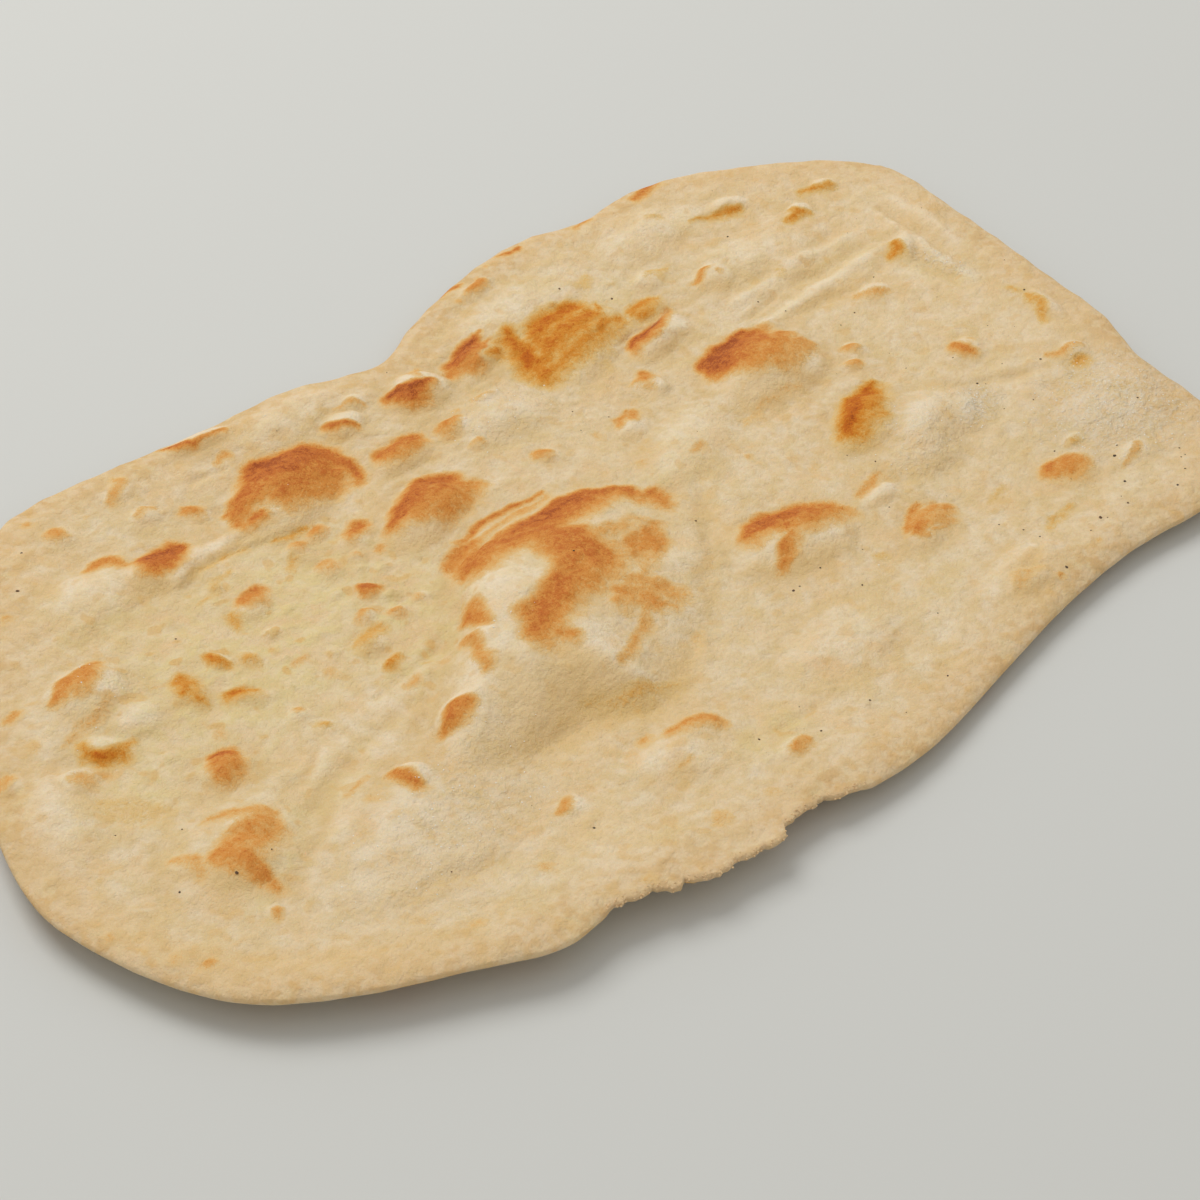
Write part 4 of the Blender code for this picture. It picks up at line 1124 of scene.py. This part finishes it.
# Painted shade for slopes turned away from the lamp.
SHADED_SLOPE_YELLOW = colour(231, 195, 132)
OILY_YELLOW = colour(231, 209, 146)
RIM_TAN = colour(230, 192, 140)
FLOUR_WHITE = colour(241, 231, 212)
CRUMB = colour(218, 186, 140)
RED_BROWN = [(231, 196, 138), (228, 174, 100), (220, 146, 64), (203, 114, 42), (164, 78, 26)]
AMBER_BROWN = [(228, 194, 132), (225, 171, 88), (216, 140, 42), (198, 106, 18), (160, 74, 12)]
BROWNS = [colour(*shade) for shade in RED_BROWN]
AMBERS = [colour(*shade) for shade in AMBER_BROWN]
LADDER = [(0.04, 0.24), (0.2, 0.44), (0.4, 0.64), (0.62, 0.84), (0.86, 1.06)]  # where each takes over
FRECKLE = colour(134, 66, 30)
print("pale dough is", [round(v, 2) for v in DOUGH[:3]])

# %% Grain of the crust
crust, place = empty_material("baked_crust")
here = {name: stored(place.tree, name) for name in TINTS}
broad = grain(place, 24, 2)
patch = grain(place, 13, 2)
medium = grain(place, 7, 3)
spots = grain(place, 5.4, 1)
blotch = grain(place, 3.4, 2)
fine = grain(place, 1.3, 4, 0.62)
tiny = grain(place, 0.42, 2, 0.7)
print("numbers that the crust reads from the mesh:", len(here))

# %% Layers of dough: how much of a colour shows, and the colour
rim_mottle = medium.between(0.35, 0.6) * 0.5 + blotch.between(0.42, 0.6) * 0.4
oily_mottle = medium.between(0.36, 0.62) * 0.6 + blotch.between(0.4, 0.6) * 0.4
LAYERS = [
    (broad.between(0.35, 0.65), DOUGH_WARM),
    (patch.between(0.44, 0.66) * 0.6, DOUGH_OLIVE),
    (medium.between(0.36, 0.66) * 0.75, DOUGH_PALE),
    (blotch.between(0.44, 0.68) * 0.42, DOUGH_OLIVE),
    (fine.between(0.42, 0.72) * 0.42, DRY_SHADE),
    (tiny.between(0.48, 0.64) * 0.24, DOUGH_PALE),
    (here["rim_tint"] * rim_mottle, RIM_TAN),
    (here["rim_tint"] * patch.between(0.48, 0.64) * blotch.between(0.34, 0.66) * 0.6, RIM_BROWN),
    # Painted light on raised skin, painted shade in hollows and on slopes turned away from the lamp.
    (here["raised_skin_light"] * 0.5, DOUGH_PALE),
    (here["hollow_shade"] * (blotch * 0.8 + 0.14), HOLLOW_SHADE_COLOUR),
    (here["slope_shade"] * (medium * 0.4 + 0.45), SHADED_SLOPE_YELLOW),
    (here["yellow"] * oily_mottle * 0.75, OILY_YELLOW),
    (here["right_tint"] * 0.16, DOUGH_WARM),
    (spots.between(0.6, 0.7) * (here["yellow"] * 0.5 + 0.32), GOLDEN),
    (here["flour"] * fine.between(0.42, 0.68) * 0.6, FLOUR_WHITE),
    (here["torn_edge"] * fine.between(0.3, 0.6), CRUMB),
]
crust_colour = DOUGH
for share, shade in LAYERS:
    crust_colour = tinted(share, crust_colour, shade)
print("layers of dough:", len(LAYERS))

# %% Toasting: brown over the dough, then amber, each up its ladder of colours
speck = (fine - 0.5) * 1.3 + (tiny - 0.5) * 1.3 + (blotch - 0.5) * 0.9 + (medium - 0.5) * 0.4
under_brown = here["under"] * (broad.between(0.48, 0.66) + medium.between(0.52, 0.68)) * 0.34
for heat, ladder in ((here["brown"] + under_brown, BROWNS), (here["amber"], AMBERS)):
    heat = heat + speck * (heat * 0.3 + 0.22) * heat.between(0.0, 0.2)  # no specks on pale dough
    for (low, high), shade in zip(LADDER, ladder):
        crust_colour = tinted(heat.between(low, high), crust_colour, shade)
    freckles = tiny.between(0.62, 0.74) * heat.between(0.45, 0.9)
    crust_colour = tinted(freckles * 0.35, crust_colour, FRECKLE)
print("colours up each ladder:", len(LADDER))

# %% The feel of the crust: floury dough is crumbly, brown and oily skin shines a little
crumbly = here["flour"] * 0.65
skin_relief = fine * (crumbly + 0.55) + tiny * 0.2 + blotch * (crumbly + 0.55)
surface(place.tree, {
    "Base Color": crust_colour,
    "Roughness": 0.78 - here["brown"] * 0.16 - here["yellow"] * 0.08 + (fine - 0.5) * 0.2,
    "Normal": bump(skin_relief, strength=0.85, depth=1.2 * MM),
    "Subsurface Weight": 0.1, "Subsurface Radius": (0.9, 0.55, 0.3), "Subsurface Scale": 2 * MM,
    "Specular IOR Level": 0.22,
})
print("nodes in the crust's material:", len(crust.node_tree.nodes))

# %% [markdown]
# ## Grain on the surface
# Baked dough has a fine pebbled skin. Geometry Nodes push each point of the sheet along its
# normal by a noise, which could also be done with a Displace modifier; the nodes keep the size
# and the height as named inputs, and leave the resting face and the edge alone.

# %% Helpers for Geometry Nodes
def new_tree(name, inputs):
    """A Geometry Nodes tree with named inputs of these kinds, and what comes out of each input."""
    tree = bpy.data.node_groups.new(name, "GeometryNodeTree")
    inputs = {"Geometry": "Geometry", **inputs}
    for input_name, kind in inputs.items():
        tree.interface.new_socket(input_name, in_out="INPUT", socket_type="NodeSocket" + kind)
    tree.interface.new_socket("Geometry", in_out="OUTPUT", socket_type="NodeSocketGeometry")
    start = tree.nodes.new("NodeGroupInput")
    return tree, {input_name: Output(tree, start.outputs[input_name]) for input_name in inputs}


def end_tree(tree, geometry, material):
    """Ends a tree: real geometry, in its material."""
    real = node(tree, "GeometryNodeRealizeInstances", {}, {"Geometry": geometry})
    finished = node(tree, "GeometryNodeSetMaterial", {}, {"Geometry": real, "Material": material})
    node(tree, "NodeGroupOutput", {}, {"Geometry": finished})


def run_tree(source, tree, values, name):
    """Runs a tree on a source object and keeps the result as a plain mesh object."""
    modifier = source.modifiers.new(tree.name, "NODES")
    modifier.node_group = tree
    for item in tree.interface.items_tree:
        if item.item_type == "SOCKET" and item.in_out == "INPUT" and item.name in values:
            modifier[item.identifier] = values[item.name]
    bpy.context.view_layer.update()
    evaluated = source.evaluated_get(bpy.context.evaluated_depsgraph_get())
    mesh = bpy.data.meshes.new_from_object(evaluated)
    mesh.name = name
    bpy.data.objects.remove(source)
    return put(name, mesh)


print("helpers ready: new_tree, end_tree, run_tree")

# %% Pebbled skin
skin_tree, given = new_tree("pebbled_skin", {
    "Grain Size": "Float", "Grain Height": "Float", "Material": "Material",
})
position = node(skin_tree, "GeometryNodeInputPosition", {}, {})
normal = node(skin_tree, "GeometryNodeInputNormal", {}, {})
noise = node(skin_tree, "ShaderNodeTexNoise", {}, {
    "Vector": position, "Scale": 1 / given["Grain Size"], "Detail": 2.0, "Roughness": 0.55,
})
give = node(skin_tree, "GeometryNodeInputNamedAttribute", {"data_type": "FLOAT"}, {"Name": "give"})
push = (noise - 0.5) * give * given["Grain Height"]
offset = node(skin_tree, "ShaderNodeVectorMath", {"operation": "SCALE"}, {0: normal, "Scale": push})
pushed = node(skin_tree, "GeometryNodeSetPosition", {}, {"Geometry": given["Geometry"], "Offset": offset})
end_tree(skin_tree, pushed, given["Material"])
skin = {"Grain Size": 3.2 * MM, "Grain Height": 0.9 * MM, "Material": crust}
lavash = run_tree(bread, skin_tree, skin, "lavash_crust")
print("triangles of the crust:", len(lavash.data.polygons), "map:", lavash.data.uv_layers[0].name)

# %% [markdown]
# ## Grains: flour, char and crumbs
# A dusting of flour stays on the dry right end, specks of char stick to the crust, and crumbs
# hang on the torn rim. They could be scattered as particles, but those are lost when the bread is
# exported. One tree makes them all: it takes places, sets a small rough ball on each at its own
# size and turn, and makes them real. A ball of twenty faces is enough, because a grain is about a
# millimetre at most.

# %% The tree for grains
SIZE_LEAST = 0.45  # the smallest grain's size, as a share of the largest
NARROW = 0.7  # how wide a grain is, next to 1 for the longest one's length
TILT = 0.3  # radians, how far a grain leans each way
FULL_TURN = 6.28  # radians
grain_tree, given = new_tree("grains_on_places", {
    "Grain Size": "Float", "Flatness": "Float", "Seed": "Int", "Material": "Material",
})
ball = node(grain_tree, "GeometryNodeMeshIcoSphere", {}, {"Radius": given["Grain Size"], "Subdivisions": 1})
size = node(grain_tree, "FunctionNodeRandomValue", {"data_type": "FLOAT"},
            {2: SIZE_LEAST, 3: 1.0, "Seed": given["Seed"]}, 1)
turn = node(grain_tree, "FunctionNodeRandomValue", {"data_type": "FLOAT_VECTOR"},
            {0: (-TILT, -TILT, 0.0), 1: (TILT, TILT, FULL_TURN), "Seed": given["Seed"]})
thin = size * given["Flatness"]
shape = node(grain_tree, "ShaderNodeCombineXYZ", {}, {"X": size, "Y": NARROW, "Z": thin})
stretch = node(grain_tree, "ShaderNodeVectorMath", {"operation": "SCALE"}, {0: shape, "Scale": size})
set_down = node(grain_tree, "GeometryNodeInstanceOnPoints", {}, {
    "Points": given["Geometry"], "Instance": ball, "Rotation": turn, "Scale": stretch,
})
end_tree(grain_tree, set_down, given["Material"])
print("nodes in the grain tree:", len(grain_tree.nodes))

# %% Places on the finished crust
GRAIN_SHIFT = 0.4  # mm that a grain may lie from its point of the mesh, so that no grid shows
crust_points = np.empty(len(lavash.data.vertices) * 3)
lavash.data.vertices.foreach_get("co", crust_points)
crust_points = crust_points.reshape(-1, 3)
spread = np.random.default_rng(SEED + 60)


def random_places(chance, count):
    """Points of the crust drawn by chance, each moved a little."""
    chosen = spread.choice(len(crust_points), count, replace=False, p=chance / chance.sum())
    places = crust_points[chosen].copy()
    places[:, :2] += spread.uniform(-GRAIN_SHIFT, GRAIN_SHIFT, (count, 2)) * MM
    return places


def nearest_places(wanted):
    """The points of the top nearest to the places that are wanted, in the bread's own plan."""
    nearest = [np.argmin(np.where(side > 0, np.hypot(x - cx, y - cy), np.inf)) for cx, cy in wanted]
    return crust_points[nearest]


def grains(name, places, size_mm, flatness, seed, material):
    """Sets grains on places and keeps them as one plain mesh."""
    source = put_mesh(name + "_places", places.tolist(), [])
    values = {"Grain Size": size_mm * MM, "Flatness": flatness, "Seed": seed, "Material": material}
    made = run_tree(source, grain_tree, values, name)
    print(name, len(places), "grains,", len(made.data.polygons), "faces")
    return made


# %% Materials of the grains
def grain_material(name, first, second, roughness):
    """A dull grain whose colour drifts between two."""
    material, place = empty_material(name)
    drift = grain(place, 2.0, 2)
    pits = grain(place, 0.3, 2)
    surface(place.tree, {
        "Base Color": tinted(drift.between(0.35, 0.65), first, second),
        "Roughness": pits * 0.2 + roughness, "Normal": bump(pits, strength=0.4, depth=0.1 * MM),
    })
    return material


flour_look = grain_material("dry_flour", FLOUR_WHITE, colour(240, 232, 216), 0.8)
char_look = grain_material("char", colour(60, 44, 30), colour(104, 76, 48), 0.7)
crumb_look = grain_material("torn_crumb", CRUMB, DOUGH_WARM, 0.75)
print("grain materials:", flour_look.name, char_look.name, crumb_look.name)

# %% Flour, char and crumbs in place
CHAR_SPOTS = [
    (111, -39), (112.5, -40.5), (81, -98), (81.5, -99.5), (90, -100), (115, -100), (117, -100),
    (105, -106), (106, -86), (98, -94), (119, -97), (133, 13), (116, 7), (109, 6), (104, 22), (27, 31),
    (32, 38), (71, 76), (78, 63), (25, -87), (-13, -93), (-29, -91), (58, -102), (65, -90), (129, -47),
    (-108, 102), (-119, 92), (-155, -22), (-144, -22), (-166, -15), (10, -53), (64, -78),
]
GRAIN_INSET = 5  # mm in from the rim where flour and char begin
CRUMB_REACH = 1.4  # mm in from the torn rim where crumbs end
STRAY_FLOUR = 0.02  # next to 1 on floury dough
STRAY_CHAR = 0.2  # next to 1 at the right end, where char is commonest
CHAR_NEAR_SHARE = 0.5  # how much commoner it is along the near rim
CHAR_START = 20  # mm to the right of the middle, and nearer, where char gets commoner
CHAR_ALONG = 120  # and over how many mm it does
CHAR_ACROSS = 60
FLOUR_COUNT = 700
SPECK_COUNT = 60
CRUMB_COUNT = 200
inner_top = (side > 0) & (inward > GRAIN_INSET)
flour_chance = (STRAY_FLOUR + flour) ** 2 * inner_top
char_chance = STRAY_CHAR + smooth((x - CHAR_START) / CHAR_ALONG)
char_chance += CHAR_NEAR_SHARE * smooth((-y - CHAR_START) / CHAR_ACROSS)
char_chance *= inner_top
crumb_chance = broken * (inward < CRUMB_REACH) * top + 1e-12
flour_grains = grains("flour_dust", random_places(flour_chance, FLOUR_COUNT),
                      size_mm=0.34, flatness=0.5, seed=3, material=flour_look)
char_marks = grains("char_marks", nearest_places(CHAR_SPOTS),
                    size_mm=0.7, flatness=0.4, seed=4, material=char_look)
char_specks = grains("char_specks", random_places(char_chance, SPECK_COUNT),
                     size_mm=0.4, flatness=0.45, seed=6, material=char_look)
crumbs = grains("rim_crumbs", random_places(crumb_chance, CRUMB_COUNT),
                size_mm=0.42, flatness=0.9, seed=5, material=crumb_look)

# %% [markdown]
# ## Table, light and camera
# The bread lies on a plain pale table under one big soft lamp behind it on the left, as by a
# window, with even light all round. Small hard lamps would draw sharp shadows in every dent, which
# baked dough by a window doesn't show. The camera looks down at about forty degrees.

# %% Table
TABLE_HALF = 12.0  # metres, so that it fills the view
ends = (-TABLE_HALF, TABLE_HALF)
table = put_mesh("table", [(end_x, end_y, 0) for end_y in ends for end_x in ends], [(0, 1, 3, 2)])
table_look = bpy.data.materials.new("pale_table")
table_look.use_nodes = True
table_shader = table_look.node_tree.nodes["Principled BSDF"]
table_shader.inputs["Base Color"].default_value = colour(212, 212, 207)
table_shader.inputs["Roughness"].default_value = 0.9
table.data.materials.append(table_look)
print("table half width, m:", TABLE_HALF)

# %% Camera
VIEW_TURN = math.radians(-50)  # azimuth of the camera, 0 looks along +Y
VIEW_DOWN = math.radians(40)
VIEW_DISTANCE = 0.80
LENS = 96
SENSOR = 36
aim = Vector((-19.2, -18.6, 4.0)) * MM
away = Vector((-math.sin(VIEW_TURN), math.cos(VIEW_TURN), 0))
right = Vector((math.cos(VIEW_TURN), math.sin(VIEW_TURN), 0))
up = Vector((0, 0, 1))


def point_at_bread(made):
    """Turns a camera or a lamp towards the bread."""
    made.rotation_euler = (aim - made.location).to_track_quat("-Z", "Y").to_euler()


camera_data = bpy.data.cameras.new("camera")
camera_data.lens = LENS
camera_data.sensor_width = SENSOR
camera = put("camera", camera_data)
back_off = away * VIEW_DISTANCE * math.cos(VIEW_DOWN)
camera.location = aim - back_off + up * VIEW_DISTANCE * math.sin(VIEW_DOWN)
point_at_bread(camera)
bpy.context.scene.camera = camera
print("camera at, mm:", [round(v / MM, 1) for v in camera.location])

# %% Lamp and room
LAMP_SIDE = 1.0  # metres
LAMP_POWER = 12.6  # watts
LAMP_BEHIND = 0.7  # metres from the middle of the view
LAMP_LEFT = 0.6
LAMP_UP = 1.35
ROOM_LIGHT = 0.56
ROOM_COLOUR = (1.0, 0.99, 0.97, 1.0)
lamp_data = bpy.data.lights.new("window", "AREA")
lamp_data.size = LAMP_SIDE
lamp_data.energy = LAMP_POWER
window = put("window", lamp_data)
window.location = aim + away * LAMP_BEHIND - right * LAMP_LEFT + up * LAMP_UP
point_at_bread(window)
world = bpy.data.worlds.new("even_light")
world.use_nodes = True
background = world.node_tree.nodes["Background"]
background.inputs["Color"].default_value = ROOM_COLOUR
background.inputs["Strength"].default_value = ROOM_LIGHT
bpy.context.scene.world = world
bpy.context.scene.view_settings.view_transform = "Standard"
print("light of the room:", ROOM_LIGHT)

# %% [markdown]
# ## Join the pieces to the frame
# Every piece rides on the CAD's one body, and the crust stands for the CAD solid, which is hidden.

# %% Ride and replace
for piece in (lavash, flour_grains, char_marks, char_specks, crumbs):
    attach(piece, "root")
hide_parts("lavash")
